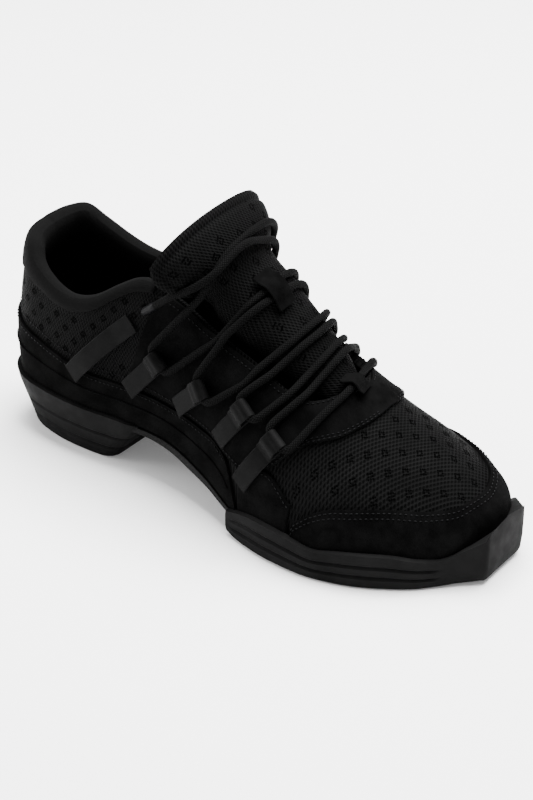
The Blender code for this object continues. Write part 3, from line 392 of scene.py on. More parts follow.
def bare_skin(turn, rise):
    turn = wrap(turn)
    rise = np.asarray(rise, float)
    station = 1.0 - np.abs(turn)
    lateral = -flow(LAST, "lateral", station, odd=True)
    medial = flow(LAST, "medial", station, odd=True)
    ridge_x = flow(LAST, "ridge_along", station) * LAST_LENGTH - HEEL_SEAT
    ridge_y = flow(LAST, "swing", station) * BALL_WIDTH
    ridge_z = flow(LAST, "ridge", station) * INSTEP_HEIGHT
    foot_x = flow(LAST, "along", station) * LAST_LENGTH - HEEL_SEAT
    foot_y = ridge_y + np.where(turn < 0, lateral, medial) * BALL_WIDTH
    foot_z = flow(LAST, "feather", station) * HEEL_HEIGHT
    crown, bulge = flow(LAST, "crown", station), flow(LAST, "bulge", station)
    inwards = section_inwards(rise, crown, bulge)
    height = section_height(rise, flow(LAST, "wall", station))
    x = foot_x + (ridge_x - foot_x) * inwards
    y = foot_y + (ridge_y - foot_y) * inwards
    slope = RIDGE_FALL * np.clip((station - 0.45) / 0.2, 0, 1)
    z = foot_z + (ridge_z - foot_z) * height - slope * (x - ridge_x) * height**2
    return np.stack(np.broadcast_arrays(x, y, z), -1)


def unit(vectors):
    return vectors / np.linalg.norm(vectors, axis=-1, keepdims=True)


def side_normal(turn, rise):
    rise = np.minimum(rise, NEAR_RIDGE)
    along = bare_skin(turn + STEP, rise) - bare_skin(turn - STEP, rise)
    up = bare_skin(turn, rise + STEP) - bare_skin(turn, rise - STEP)
    return unit(np.cross(along, up))


def skin_normal(turn, rise):
    """Straight out of the last; the two sides share one direction on the ridge."""
    turn, rise = np.broadcast_arrays(np.asarray(turn, float), np.asarray(rise, float))
    share = np.clip((rise - NEAR_RIDGE) / (1 - NEAR_RIDGE), 0, 1)[..., None] * 0.5
    return unit(side_normal(turn, rise) * (1 - share) + side_normal(-turn, rise) * share)


def skin(turn, rise, lift=0.0):
    lift = np.asarray(lift, float)[..., None]
    return bare_skin(turn, rise) + skin_normal(turn, rise) * lift


def rise_at(turn, height):
    """The rise at which the section reaches this share of its height."""
    turn, height = np.broadcast_arrays(np.asarray(turn, float), np.asarray(height, float))
    wall = flow(LAST, "wall", station_of(turn))
    low, high = np.zeros(turn.shape), np.ones(turn.shape)
    for _ in range(30):
        middle = (low + high) / 2
        below = section_height(middle, wall) < height
        low, high = np.where(below, middle, low), np.where(below, high, middle)
    return np.where(height >= 1.0, 1.0, (low + high) / 2)


def edge_height(table, turn):
    turn = wrap(turn)
    station = 1.0 - np.abs(turn)
    lateral = np.clip(flow(table, "lateral", station), 0, 1)
    return np.where(turn < 0, lateral, np.clip(flow(table, "medial", station), 0, 1))


def top_height(turn):
    return np.where(station_of(turn) >= THROAT_END - 1e-6, 1.0, edge_height(TOP, turn))


def rise_per_metre(turn, rise):
    up = bare_skin(turn, rise + STEP) - bare_skin(turn, rise - STEP)
    return 2 * STEP / np.linalg.norm(up, axis=-1)


def turns_between(first, last, stations=STATIONS):
    """The stations' turns from first to last, both ends included."""
    every = sorted({s - 1 for s in stations} | {1 - s for s in stations})
    every = np.array(every + [turn + 2 for turn in every[1:]])
    inside = every[(every > first + 4e-3) & (every < last - 4e-3)]
    return np.concatenate([[first], inside, [last]])


def weld(shape):
    """Joins points that meet, and takes out the faces that come to lie back to back."""
    target = bmesh.ops.find_doubles(shape, verts=shape.verts, dist=2e-6)["targetmap"]
    seen = {}
    for face in shape.faces:
        corners = frozenset(target.get(corner, corner) for corner in face.verts)
        seen.setdefault(corners, []).append(face)
    twins = [face for faces in seen.values() if len(faces) > 1 for face in faces]
    bmesh.ops.delete(shape, geom=twins, context="FACES_ONLY")
    bmesh.ops.weld_verts(shape, targetmap=target)
    bare = [edge for edge in shape.edges if not edge.link_faces]
    bmesh.ops.delete(shape, geom=bare, context="EDGES")


def on_last(turns, low, high, rows, lift):
    """A grid of points over the last from one edge to the other, each a height for every turn."""
    low, high = rise_at(turns, low), rise_at(turns, high)
    rises = low + (high - low) * np.linspace(0, 1, rows)[:, None]
    return skin(np.broadcast_to(turns, rises.shape), rises, np.full(rises.shape, lift))


def grid_normal(grid):
    rows, columns = np.gradient(grid, axis=0), np.gradient(grid, axis=1)
    return unit(np.cross(rows, columns))


def outline(turns, spread):
    """The feather line pushed out level by spread."""
    line = bare_skin(turns, np.zeros(len(turns)))
    tangent = bare_skin(turns + STEP, 0.0) - bare_skin(turns - STEP, 0.0)
    tangent[:, 2] = 0
    tangent = unit(tangent)
    out = np.stack([tangent[:, 1], -tangent[:, 0], np.zeros(len(turns))], -1)
    return line + out * (np.zeros(len(turns)) + spread)[:, None]


def both_sides(stations):
    """Turns out along the lateral side and back along the medial one."""
    stations = np.asarray(stations, float)
    return np.concatenate([stations - 1, (1 - stations)[::-1]])


def place(side, station, height, lift=0.0):
    """A point off the last and the way out of it there; side is -1 lateral, 1 medial."""
    turn = side * (1 - station)
    rise = rise_at(turn, height)
    return skin(turn, rise, lift), skin_normal(turn, rise)


def strap_width(name):
    return FAR_STRAP_WIDTH if "medial" in name and not name.endswith("_1") else STRAP_WIDTH


def strap_frame(name):
    """The head of a strap: the point on it, its way on, its way out and the way across."""
    row, side = STRAPS[name], -1 if "lateral" in name else 1
    head, out = place(side, row.head_station, row.head, row.head_lift + STRAP_WALL / 2)
    before, _ = place(side, row.head_station * 0.9 + row.foot_station * 0.1,
                      row.head * 0.9 + row.foot * 0.1, row.head_lift + STRAP_WALL / 2)
    ahead = unit(head - before)
    across = unit(np.cross(ahead, out))
    return head, ahead, np.cross(across, ahead), across


# Meshes


def new_object(name, points, faces, uvs=None, finishes=(), rims=0):
    """A smooth mesh; faces from number rims on take the second finish."""
    mesh = bpy.data.meshes.new(name)
    mesh.from_pydata(np.asarray(points).tolist(), [], [tuple(map(int, f)) for f in faces])
    if uvs is not None:
        layer = mesh.uv_layers.new(name="weave")
        corners = np.concatenate([np.asarray(f) for f in faces])
        layer.data.foreach_set("uv", np.asarray(uvs)[corners].astype(np.float32).ravel())
    for finish in finishes:
        mesh.materials.append(finish)
    if len(finishes) > 1:
        mesh.polygons.foreach_set("material_index", (np.arange(len(faces)) >= rims).astype(int))
    shape = bmesh.new()
    shape.from_mesh(mesh)
    weld(shape)
    bmesh.ops.recalc_face_normals(shape, faces=shape.faces)
    shape.to_mesh(mesh)
    shape.free()
    mesh.shade_smooth()
    mesh.set_sharp_from_angle(angle=math.radians(42))
    obj = bpy.data.objects.new(name, mesh)
    bpy.context.scene.collection.objects.link(obj)
    return obj


def slab(name, outer, inner, finishes, uvs=None, closed=False):
    """A sheet with a wall between two grids of points; the inside takes the last finish."""
    rows, columns = outer.shape[:2]
    count = rows * columns
    index = np.arange(count).reshape(rows, columns)
    quads = np.stack([index[:-1, :-1], index[1:, :-1], index[1:, 1:], index[:-1, 1:]], -1)
    quads = quads.reshape(-1, 4)
    rims = [np.stack([index[i, :-1], index[i, 1:]], -1) for i in (0, -1)]
    if not closed:
        rims += [np.stack([index[:-1, j], index[1:, j]], -1) for j in (0, -1)]
    rims = np.concatenate(rims)
    rims = np.stack([rims[:, 0], rims[:, 1], rims[:, 1] + count, rims[:, 0] + count], -1)
    faces = np.concatenate([quads, rims, quads[:, ::-1] + count])
    points = np.concatenate([outer.reshape(-1, 3), inner.reshape(-1, 3)])
    if uvs is not None:
        uvs = np.concatenate([uvs.reshape(-1, 2)] * 2)
    return new_object(name, points, faces, uvs, finishes, len(quads) + len(rims))


def loft(name, rings, finishes, uvs=None, ladder=False):
    """A solid through rings of points, with flat ends or a ladder of faces from side to side."""
    rings = np.asarray(rings)
    count, around = rings.shape[:2]
    index = np.arange(count * around).reshape(count, around)
    after = np.roll(index, -1, axis=1)
    faces = np.stack([index[:-1], after[:-1], after[1:], index[1:]], -1).reshape(-1, 4).tolist()
    for start in (0, (count - 1) * around):
        if ladder:
            for j in range(around // 2 - 1):
                a, b = start + j, start + around - 1 - j
                faces.append([a, a + 1, b - 1, b])
        else:
            faces.append([start + j for j in range(around)])
    if uvs is not None:
        uvs = np.asarray(uvs).reshape(-1, 2)
    return new_object(name, rings.reshape(-1, 3), faces, uvs, finishes, len(faces))


def bake(obj):
    """Turns an object with its modifiers into a plain mesh in the same object."""
    graph = bpy.context.evaluated_depsgraph_get()
    mesh = bpy.data.meshes.new_from_object(obj.evaluated_get(graph))
    obj.modifiers.clear()
    obj.data = mesh
    return obj


def soften(obj, width, segments=2, angle=40):
    """A small round on the sharp edges."""
    edge = obj.modifiers.new("round", "BEVEL")
    edge.width = width
    edge.segments = segments
    edge.limit_method = "ANGLE"
    edge.angle_limit = math.radians(angle)
    return obj


def seat(obj, slot, *nodes):
    """Hands a finished piece to the root body and hides the solids it stands for; slot is not used.
    """
    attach(obj, "root")
    if nodes:
        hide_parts(*nodes)
    return obj


def arc_lengths(grid, axis):
    """How far along a grid of points each one is, in metres."""
    steps = np.linalg.norm(np.diff(grid, axis=axis), axis=-1)
    total = np.cumsum(steps, axis=axis)
    zero = np.zeros_like(np.take(total, [0], axis=axis))
    return np.concatenate([zero, total], axis=axis)


def reach_of(points):
    """How far along a path each of its points is."""
    return np.concatenate([[0], np.cumsum(np.linalg.norm(np.diff(points, axis=0), axis=1))])


def smooth_path(points, step):
    """A smooth curve through points, read every step."""
    points = np.asarray(points, float)
    reach = reach_of(points)
    slopes = np.gradient(points, reach, axis=0)
    wanted = np.linspace(0, reach[-1], max(4, int(round(reach[-1] / step)) + 1))
    low = np.clip(np.searchsorted(reach, wanted) - 1, 0, len(reach) - 2)
    span = (reach[low + 1] - reach[low])[:, None]
    u = (wanted - reach[low])[:, None] / span
    return cubic(points[low], points[low + 1], span * slopes[low], span * slopes[low + 1], u)


def eased(route, step):
    """A route in millimetres as a soft curve in metres, read every step."""
    points = np.array(route) / 1000
    reach = reach_of(points)
    wanted = np.linspace(0, reach[-1], max(2, int(round(reach[-1] / step)) + 1))
    path = np.stack([np.interp(wanted, reach, points[:, i]) for i in range(3)], 1)
    for _ in range(5):
        path[1:-1] = (path[:-2] + 2 * path[1:-1] + path[2:]) / 4
    return path


def tube(name, path, widths, finish, sides=12):
    """A round cord along a path; its weave runs along and round it."""
    path = np.asarray(path)
    ahead = unit(np.gradient(path, axis=0))
    side = unit(np.cross(ahead[0], [0.3, 0.1, 0.9]))
    angle = np.arange(sides) * 2 * np.pi / sides
    rings, uvs = [], []
    widths = np.broadcast_to(widths, len(path))
    for point, way, width, reach in zip(path, ahead, widths, reach_of(path)):
        side = unit(side - way * (side @ way))
        other = np.cross(way, side)
        turn = side * np.cos(angle)[:, None] + other * np.sin(angle)[:, None]
        rings.append(point + turn * width / 2)
        uvs.append(np.stack([np.full(sides, reach), np.abs(angle / np.pi - 1)], 1))
    return loft(name, rings, [finish], uvs)


# Finishes


def linear(code):
    """An sRGB hex colour as the linear values that a shader reads."""
    parts = [int(code[i : i + 2], 16) / 255 for i in (1, 3, 5)]
    return [c / 12.92 if c <= 0.04045 else ((c + 0.055) / 1.055) ** 2.4 for c in parts] + [1.0]


def add(tree, kind, links=(), **settings):
    """One node with its settings; links names an input and what feeds it, a value or a socket."""
    node = tree.nodes.new(kind)
    for key, value in settings.items():
        setattr(node, key, value)
    for key, value in dict(links).items():
        if isinstance(value, bpy.types.NodeSocket):
            tree.links.new(value, node.inputs[key])
        else:
            node.inputs[key].default_value = value
    return node


def new_finish(name, colour, roughness, specular):
    """A material whose constant values sit on its shader's own sockets."""
    finish = bpy.data.materials.new(name)
    finish.use_nodes = True
    shader = finish.node_tree.nodes["Principled BSDF"]
    shader.inputs["Base Color"].default_value = linear(colour)
    shader.inputs["Roughness"].default_value = roughness
    shader.inputs["Specular IOR Level"].default_value = specular
    return finish, finish.node_tree, shader


def blend_colours(tree, shader, share, dark, light):
    """The base colour goes from dark, in hex, to light, one of the sidebar's colours."""
    shade = getattr(bpy.context.scene.sneaker_colours, light)
    mix = add(tree, "ShaderNodeMix", {0: share, 6: linear(dark), 7: shade}, data_type="RGBA")
    tree.links.new(mix.outputs[2], shader.inputs["Base Color"])


def raise_by(tree, shader, height, depth, below=None):
    """Bump of a real depth in metres, over an earlier one if there is one."""
    bump = add(tree, "ShaderNodeBump", {"Height": height, "Distance": depth, "Strength": 1.0})
    if below is not None:
        tree.links.new(below.outputs[0], bump.inputs["Normal"])
    tree.links.new(bump.outputs[0], shader.inputs["Normal"])
    return bump


def noise(tree, size, detail=2.0, roughness=0.5):
    """Noise on the object's own coordinates, with lumps of this size in metres."""
    where = add(tree, "ShaderNodeTexCoord")
    links = {"Vector": where.outputs["Object"], "Scale": 1 / size, "Detail": detail,
             "Roughness": roughness}
    return add(tree, "ShaderNodeTexNoise", links).outputs["Fac"]


def spread(tree, value, low, high, to_low=0.0, to_high=1.0):
    """A value taken from one range to another, and kept inside it."""
    links = {"Value": value, "From Min": low, "From Max": high, "To Min": to_low, "To Max": to_high}
    return add(tree, "ShaderNodeMapRange", links).outputs[0]


def knit_cells(tree, pitch, turn):
    """A knit on the weave map: how far each spot is from its cell's open middle, in cells."""
    where = add(tree, "ShaderNodeUVMap", uv_map="weave")
    turned = add(tree, "ShaderNodeMapping", {"Vector": where.outputs[0], "Rotation": (0, 0, turn),
                                             "Scale": (1 / pitch, 0.62 / pitch, 1)})
    links = {"Vector": turned.outputs[0], "Scale": 1.0, "Randomness": 0.0}
    cells = add(tree, "ShaderNodeTexVoronoi", links, voronoi_dimensions="2D")
    return cells.outputs["Distance"]


def sandwich_mesh():
    """Polyester sandwich mesh: open cells about 1 mm apart, drawn a third coarser so they show."""
    finish, tree, shader = new_finish("polyester_sandwich_mesh", "#0b0b0b", 0.75, 0.02)
    cells = knit_cells(tree, 0.0013, math.radians(45))
    thread = spread(tree, cells, 0.18, 0.52)
    patch = spread(tree, noise(tree, 0.018, 3.0), 0.35, 0.7, 0.55, 1.0)
    shown = add(tree, "ShaderNodeMath", {0: thread, 1: patch}, operation="MULTIPLY").outputs[0]
    blend_colours(tree, shader, shown, "#010101", "mesh")
    first = raise_by(tree, shader, thread, 0.0003)
    raise_by(tree, shader, noise(tree, 0.0007), 0.00008, first)
    return finish


def brushed_lining():
    """Brushed polyester lining over foam: dull, a little fluffy."""
    finish, tree, shader = new_finish("brushed_polyester_lining", "#060606", 0.95, 0.04)
    nap = noise(tree, 0.0009, 3.0)
    blend_colours(tree, shader, nap, "#040404", "lining")
    raise_by(tree, shader, nap, 0.00012)
    return finish


def napped_suede():
    """Split suede: short nap that lies in drifting patches, so the black goes a little greyer."""
    finish, tree, shader = new_finish("napped_split_suede", "#050505", 0.94, 0.01)
    drift = spread(tree, noise(tree, 0.011, 3.0, 0.6), 0.38, 0.66)
    blend_colours(tree, shader, drift, "#040404", "suede")
    nap = noise(tree, 0.00055, 4.0, 0.7)
    first = raise_by(tree, shader, nap, 0.00014)
    raise_by(tree, shader, noise(tree, 0.004, 2.0), 0.00018, first)
    return finish


def coated_webbing():
    """Polyurethane-coated strap: smooth, a little shinier than the suede, rubbed in patches."""
    finish, tree, shader = new_finish("polyurethane_coated_strap", "#0a0a0b", 0.6, 0.03)
    rub = spread(tree, noise(tree, 0.005, 3.0), 0.35, 0.7)
    blend_colours(tree, shader, rub, "#050505", "strap")
    raise_by(tree, shader, noise(tree, 0.0006, 3.0), 0.00006)
    return finish


def moulded_rubber():
    """Compression-moulded rubber with a fine spark-eroded skin and a little floor dust."""
    finish, tree, shader = new_finish("moulded_rubber", "#0b0b0b", 0.64, 0.015)
    dust = spread(tree, noise(tree, 0.02, 4.0, 0.6), 0.35, 0.72)
    blend_colours(tree, shader, dust, "#0c0c0c", "rubber")
    worn = spread(tree, noise(tree, 0.006, 2.0), 0.3, 0.7, 0.5, 0.68)
    tree.links.new(worn, shader.inputs["Roughness"])
    raise_by(tree, shader, noise(tree, 0.0005, 2.0), 0.00004)
    return finish


def shank_board():
    """Matt fibre board under a thin black coat."""
    finish, tree, shader = new_finish("coated_fibre_board", "#070707", 0.8, 0.08)
    raise_by(tree, shader, noise(tree, 0.001, 3.0), 0.00006)
    return finish


def braided_cord():
    """Round braided polyester lace: sixteen strands, about 1.5 mm a crossing."""
    finish, tree, shader = new_finish("braided_polyester_cord", "#0b0b0b", 0.75, 0.015)
    where = add(tree, "ShaderNodeUVMap", uv_map="weave")
    split = add(tree, "ShaderNodeSeparateXYZ", {0: where.outputs[0]})
    along = add(tree, "ShaderNodeMath", {0: split.outputs[0], 1: math.pi / 0.0015},
                operation="MULTIPLY").outputs[0]
    around = add(tree, "ShaderNodeMath", {0: split.outputs[1], 1: math.pi * 4},
                 operation="MULTIPLY").outputs[0]
    strands = []
    for way in ("ADD", "SUBTRACT"):
        both = add(tree, "ShaderNodeMath", {0: along, 1: around}, operation=way).outputs[0]
        wave = add(tree, "ShaderNodeMath", {0: both}, operation="SINE").outputs[0]
        strands.append(add(tree, "ShaderNodeMath", {0: wave}, operation="ABSOLUTE").outputs[0])
    braid = add(tree, "ShaderNodeMath", {0: strands[0], 1: strands[1]}, operation="MULTIPLY")
    blend_colours(tree, shader, braid.outputs[0], "#040404", "cord")
    raise_by(tree, shader, braid.outputs[0], 0.00025)
    return finish


def moulded_tip():
    """Dipped plastic tip: smooth and a little glossy."""
    finish, tree, shader = new_finish("dipped_acetate_tip", "#050506", 0.45, 0.03)
    raise_by(tree, shader, noise(tree, 0.001), 0.00004)
    return finish


def sewing_thread():
    """Bonded nylon thread, faintly shiny."""
    finish, tree, shader = new_finish("bonded_nylon_thread", "#09090a", 0.55, 0.05)
    raise_by(tree, shader, noise(tree, 0.0003), 0.00005)
    return finish


def hole_dark():
    """The unlit inside of a punched hole."""
    finish, tree, shader = new_finish("shadowed_foam", "#010101", 0.95, 0.01)
    raise_by(tree, shader, noise(tree, 0.0005), 0.00003)
    return finish


def studio_paper():
    """Seamless white paper that glows a little, so it stays near white under the shoe too."""
    finish, tree, shader = new_finish("seamless_paper", "#f4f4f4", 0.9, 0.1)
    shader.inputs["Emission Color"].default_value = linear("#ffffff")
    shader.inputs["Emission Strength"].default_value = 0.12
    raise_by(tree, shader, noise(tree, 0.002), 0.00002)
    return finish


FINISHES = {}


def finish_of(make):
    """Each finish is made once."""
    if make not in FINISHES:
        FINISHES[make] = make()
    return FINISHES[make]


# The cord's routes and the keepers' paths, in millimetres.  They are not all chosen by hand: most
# points of LACE_ROUTE and FREE_ROUTE, and the keepers' ways across, are what the part's own source
# works out when it pulls the cord tight over its solids.  The others were given near those.
LACE_ROUTE = [
    (72.2, 30.1, 70.9), (70.3, 30, 72), (67.7, 29.7, 74), (66.2, 29.6, 75.6), (67.1, 29.2, 78.6),
    (75, 29.2, 99.6), (77.8, 29.8, 104.8), (80.8, 30.2, 111.9), (82.4, 29.7, 116.2),
    (83.4, 28.7, 119), (84.9, 26.2, 122.7), (86.4, 21.3, 126.3), (87.6, 14.1, 128.3),
    (88.4, 3.5, 128.4), (88.7, -5.4, 127.2), (88.7, -13.5, 125), (88.2, -20.2, 120.4),
    (86.5, -25.3, 112.6), (81.5, -27.3, 103.6), (58.8, -32.9, 75.5), (57.6, -33.3, 72.6),
    (59, -33.5, 70.9), (64.6, -34.2, 65.5), (66.3, -34.4, 64.2), (69.2, -34.2, 65.4),
    (85.6, -31.2, 80.7), (91.2, -29.4, 85.5), (93.1, -28.3, 87.5), (102.6, -18.3, 103.5),
    (105.4, -12.5, 107.5), (106.5, -5.5, 110.1), (106.5, 2, 111.2), (105.8, 9.6, 110.5),
    (104.6, 15, 108), (104.1, 16.1, 107.1), (102.1, 19.5, 102.4), (89.6, 30.4, 72),
    (88.7, 30.9, 69), (90.3, 31.3, 67.5), (92.8, 31.8, 65.5), (94.7, 32.2, 64.4), (97.4, 32.2, 66),
    (103.3, 25.6, 83.3), (108.6, 18.5, 99), (110.1, 14.8, 103.5), (110.8, 9.5, 106.3),
    (110.8, 2, 107.4), (110.2, -5.5, 106.9), (109.4, -9.7, 105.8), (108.3, -15.5, 104.9),
    (105.4, -21.3, 101.4), (97.8, -29.2, 91.2), (96.1, -30.9, 86.9), (87.6, -35.6, 71.8),
    (86, -35.9, 69), (87.2, -36.5, 67.2), (91.9, -38.4, 61.4), (93.5, -39, 59.9),
    (96.5, -39.2, 60.8), (106.7, -36, 69.2), (111.3, -34.3, 72.7), (113.1, -32.9, 74.6),
    (113.6, -32.2, 75.7), (115.8, -28.7, 80.1), (124.2, -13.7, 90.8),
    (126.2, -4.3, 94.3), (126.2, 1.7, 95), (125.6, 7.7, 94.9),
    (123.4, 14.8, 93.2), (120, 18.6, 89.8), (112.4, 25.9, 79.4), (103.8, 31.8, 70.7),
    (103.3, 32.5, 67.6), (105, 33, 66.3), (107.7, 33.7, 64.7), (109.7, 34.2, 63.9),
    (112.2, 34, 65.8), (120, 26.1, 77.8), (127, 14.6, 89.8), (128.6, 9.2, 91.5),
    (129.7, 3.2, 91.7), (129.8, -4.2, 90.9), (128.4, -11.3, 89), (122, -27.7, 78.6),
    (118.6, -32.2, 75.6), (115.5, -35.6, 72.4), (111.9, -38.3, 68.2), (113.5, -38.9, 66.8),
    (119.7, -40.7, 62.4), (121.6, -41.1, 61.4), (124.3, -40.4, 62.8), (133.3, -26.9, 73.4),
    (135.2, -14, 79.3), (136.5, -9.4, 82.4), (136.8, -4, 84.4), (136.2, 3.3, 85.7),
    (135.5, 7.6, 85.6), (134, 13.3, 83.9), (130.4, 18.5, 80), (125.2, 26.3, 75.2),
    (118.2, 33.1, 68.2), (118.2, 34.2, 65.3), (120.1, 34.5, 64.2), (123, 35, 63),
    (125.2, 35.2, 62.4), (127.4, 34.4, 64.5), (132.6, 25.7, 73.4), (135.8, 16.9, 78),
    (138, 12.1, 80.9), (139.3, 8, 82.3), (140, 3.4, 82.4), (140.5, -4, 80.9), (139, -21.7, 73.1),
    (138.6, -24.5, 72.3), (137.6, -27, 71), (131.1, -39.3, 62.2), (130.5, -40.9, 59.6),
    (132.2, -41.5, 58.2), (138.7, -42.9, 54.1), (140.7, -43.1, 53.2), (143.2, -41.9, 54.5),
    (147.8, -29.1, 63.9), (149.7, -22.8, 67.7), (151.9, -13.4, 71.7), (152.4, -10.5, 72.7),
    (152.3, -7.7, 73.6), (151.9, -6.2, 73.8), (150.7, -1.9, 73.1), (146.9, 12.7, 72.1),
    (145, 20, 72.3), (144.7, 21.5, 71.8), (142.4, 26, 68.5), (139.8, 30, 64.8),
]
FREE_ROUTE = [
    (74.9, 29.9, 72.4), (88.5, 22.1, 110.4), (90.5, 20.3, 115.7), (91.8, 16.4, 120),
    (92.3, 11.9, 122.2), (92.7, -2.3, 127), (92.8, -6.2, 127.6), (92.4, -12, 126.6),
    (91.4, -18.5, 123.4), (90.4, -24.4, 119.8), (87.3, -28.3, 116), (82, -31.5, 111.5),
    (70, -33.2, 104.2), (51.6, -28.9, 89.5), (50.3, -28.2, 88.2),
]
KEEPER_PATHS = {
    "keeper_mid": (
        [
            (115.6, -4.7, 102.4), (113.9, -5, 104.4), (113, -5.6, 107.4), (110.4, -6.1, 110.8),
            (107.2, -6.3, 113), (104.6, -6, 113.2), (102.2, -5.9, 113.8), (100.5, -6.1, 114.9),
        ],
        (0.09, 0.97, 0.22),
    ),
    "keeper_low": (
        [
            (157.2, -1.8, 71.6), (155.2, -2.1, 72.8), (153.6, -2.3, 74.9), (151.4, -2.6, 76.1),
            (149.2, -3.2, 75.6), (147.3, -3.6, 75), (145.6, -3.8, 75.1),
        ],
        (-0.25, 0.96, -0.11),
    ),
}


# Places on the shoe

DENSE = np.unique(np.concatenate([np.linspace(0, THROAT_END, 121), np.linspace(THROAT_END, 1, 45)]))
FOOT_EDGE = 0.008
VAMP_START = 0.62


def dense_turns(first, last):
    return turns_between(first, last, DENSE)


def weave_map(grid, station):
    """A flat map in metres: from above on the vamp, and along and up on the quarters."""
    side = np.stack([arc_lengths(grid, 1), arc_lengths(grid, 0)], -1)
    return np.where((station > VAMP_START)[..., None], grid[..., :2], side)


def suede_sheet(node, table, ends, rows, lift, wall, rounding):
    """Suede over the last between two turns, from the foot edge up to the heights of a table."""
    turns = dense_turns(*ends)
    low, high = np.full(len(turns), FOOT_EDGE), edge_height(table, turns)
    outer = on_last(turns, low, high, rows, lift)
    inner = on_last(turns, low, high, rows, lift - wall)
    uvs = weave_map(outer, np.broadcast_to(station_of(turns), outer.shape[:2]))
    piece = slab(node + "_suede", outer, inner, [finish_of(napped_suede)], uvs)
    seat(soften(piece, rounding), "suede", node)


def stay_columns():
    """The stay's rows read finely and smoothed, out to the ridge and back; and each one's side."""
    table = np.array(STAY)
    fine = np.linspace(0, len(table) - 1, 157)
    table = np.stack([np.interp(fine, np.arange(len(table)), column) for column in table.T], 1)
    kernel = np.array([1, 2, 3, 2, 1]) / 9
    padded = np.concatenate([table[:1]] * 2 + [table] + [table[-1:]] * 2)
    table = np.stack([np.convolve(padded[:, i], kernel, "valid") for i in range(4)], 1)
    table[-1, 1] = table[-1, 3] = 1.0
    columns = np.concatenate([table, table[-2::-1]])
    return columns, np.where(np.arange(len(columns)) < len(table) - 1, -1.0, 1.0)


def hex_colour(name, description, code):
    """A colour property whose default is an sRGB hex value."""
    return FloatVectorProperty(name=name, description=description, default=linear(code), size=4,
                               min=0.0, max=1.0, subtype="COLOR")


class SneakerColours(bpy.types.PropertyGroup):
    """Colours of the finishes: the lighter of the two that each one drifts between."""

    mesh: hex_colour("Mesh", "Threads of the mesh on the upper and the tongue", "#0d0d0d")
    lining: hex_colour("Lining", "Nap of the lining, collar and insole", "#0a0a0a")
    suede: hex_colour("Suede", "Nap of the suede overlays and keepers", "#090909")
    strap: hex_colour("Straps", "Coat of the straps", "#090909")
    rubber: hex_colour("Rubber", "Dusty parts of the heel block and forefoot sole", "#131313")
    cord: hex_colour("Cord", "Strands of the cord", "#0e0e0e")


class SneakerSizes(bpy.types.PropertyGroup):
    """Sizes of what the scene adds to the solids' shapes."""

    stitch_pitch: FloatProperty(
        name="Stitch pitch", description="Length of one stitch and the gap after it",
        default=0.0024, min=0.001, unit="LENGTH")
    stitch_width: FloatProperty(
        name="Thread width", description="Width of the sewing thread", default=0.0005,
        min=0.0002, unit="LENGTH")
    hole_width: FloatProperty(
        name="Perforation width", description="Width of one punched hole", default=0.0010,
        min=0.0003, unit="LENGTH")
    ring_pitch: FloatProperty(
        name="Ring pitch", description="Distance between rings of holes", default=0.0079,
        min=0.003, unit="LENGTH")
    cord_sides: IntProperty(
        name="Cord sides", description="Flat sides of the round cord", default=12, min=6, max=24)


class SNEAKER_OT_upper(bpy.types.Operator):
    """Mesh upper: one closed sheet over the last, open at the collar and throat."""

    bl_idname = "sneaker.upper"
    bl_label = "Mesh upper"

    def execute(self, context):
        turns = dense_turns(-1.0, 1.0)
        low, high = np.zeros(len(turns)), top_height(turns)
        outer = on_last(turns, low, high, 46, 0.0)
        inner = on_last(turns, low, high, 46, -UPPER_WALL)
        uvs = weave_map(outer, np.broadcast_to(station_of(turns), outer.shape[:2]))
        finishes = [finish_of(sandwich_mesh), finish_of(brushed_lining)]
        upper = slab("upper_mesh", outer, inner, finishes, uvs, closed=True)
        seat(upper, "mesh", "upper")
        return {"FINISHED"}


class SNEAKER_OT_overlays(bpy.types.Operator):
    """Suede toe guard, foxing, side panels and throat stay, sewn on the mesh."""

    bl_idname = "sneaker.overlays"
    bl_label = "Suede overlays"

    def execute(self, context):
        end = FOXING[-1].station
        suede_sheet("foxing", FOXING, (1 - end, 1 + end), 14, SUEDE_LIFT, SUEDE_WALL, SUEDE_ROUND)
        for side, node in ((-1, "side_panel_lateral"), (1, "side_panel_medial")):
            ends = sorted(side * (1 - SIDE_PANEL[i].station) for i in (0, -1))
            suede_sheet(node, SIDE_PANEL, ends, 14, PANEL_LIFT, PANEL_WALL, PANEL_ROUND)
        start = TOE_GUARD[0].station
        suede_sheet("toe_guard", TOE_GUARD, (start - 1, 1 - start), 18, SUEDE_LIFT, SUEDE_WALL,
                    SUEDE_ROUND)
        columns, side = stay_columns()
        share = np.linspace(0, 1, 26)[:, None]
        station = columns[:, 0] + (columns[:, 2] - columns[:, 0]) * share
        turns = side * (1 - station)
        low, high = rise_at(turns, columns[:, 1]), rise_at(turns, columns[:, 3])
        rises = low + (high - low) * share
        outer = skin(turns, rises, np.full(turns.shape, STAY_GAP + OVERLAY_WALL))
        inner = skin(turns, rises, np.full(turns.shape, -0.0001))
        stay = slab("throat_stay_suede", outer, inner, [finish_of(napped_suede)])
        seat(soften(stay, SUEDE_ROUND), "suede", "throat_stay")
        return {"FINISHED"}


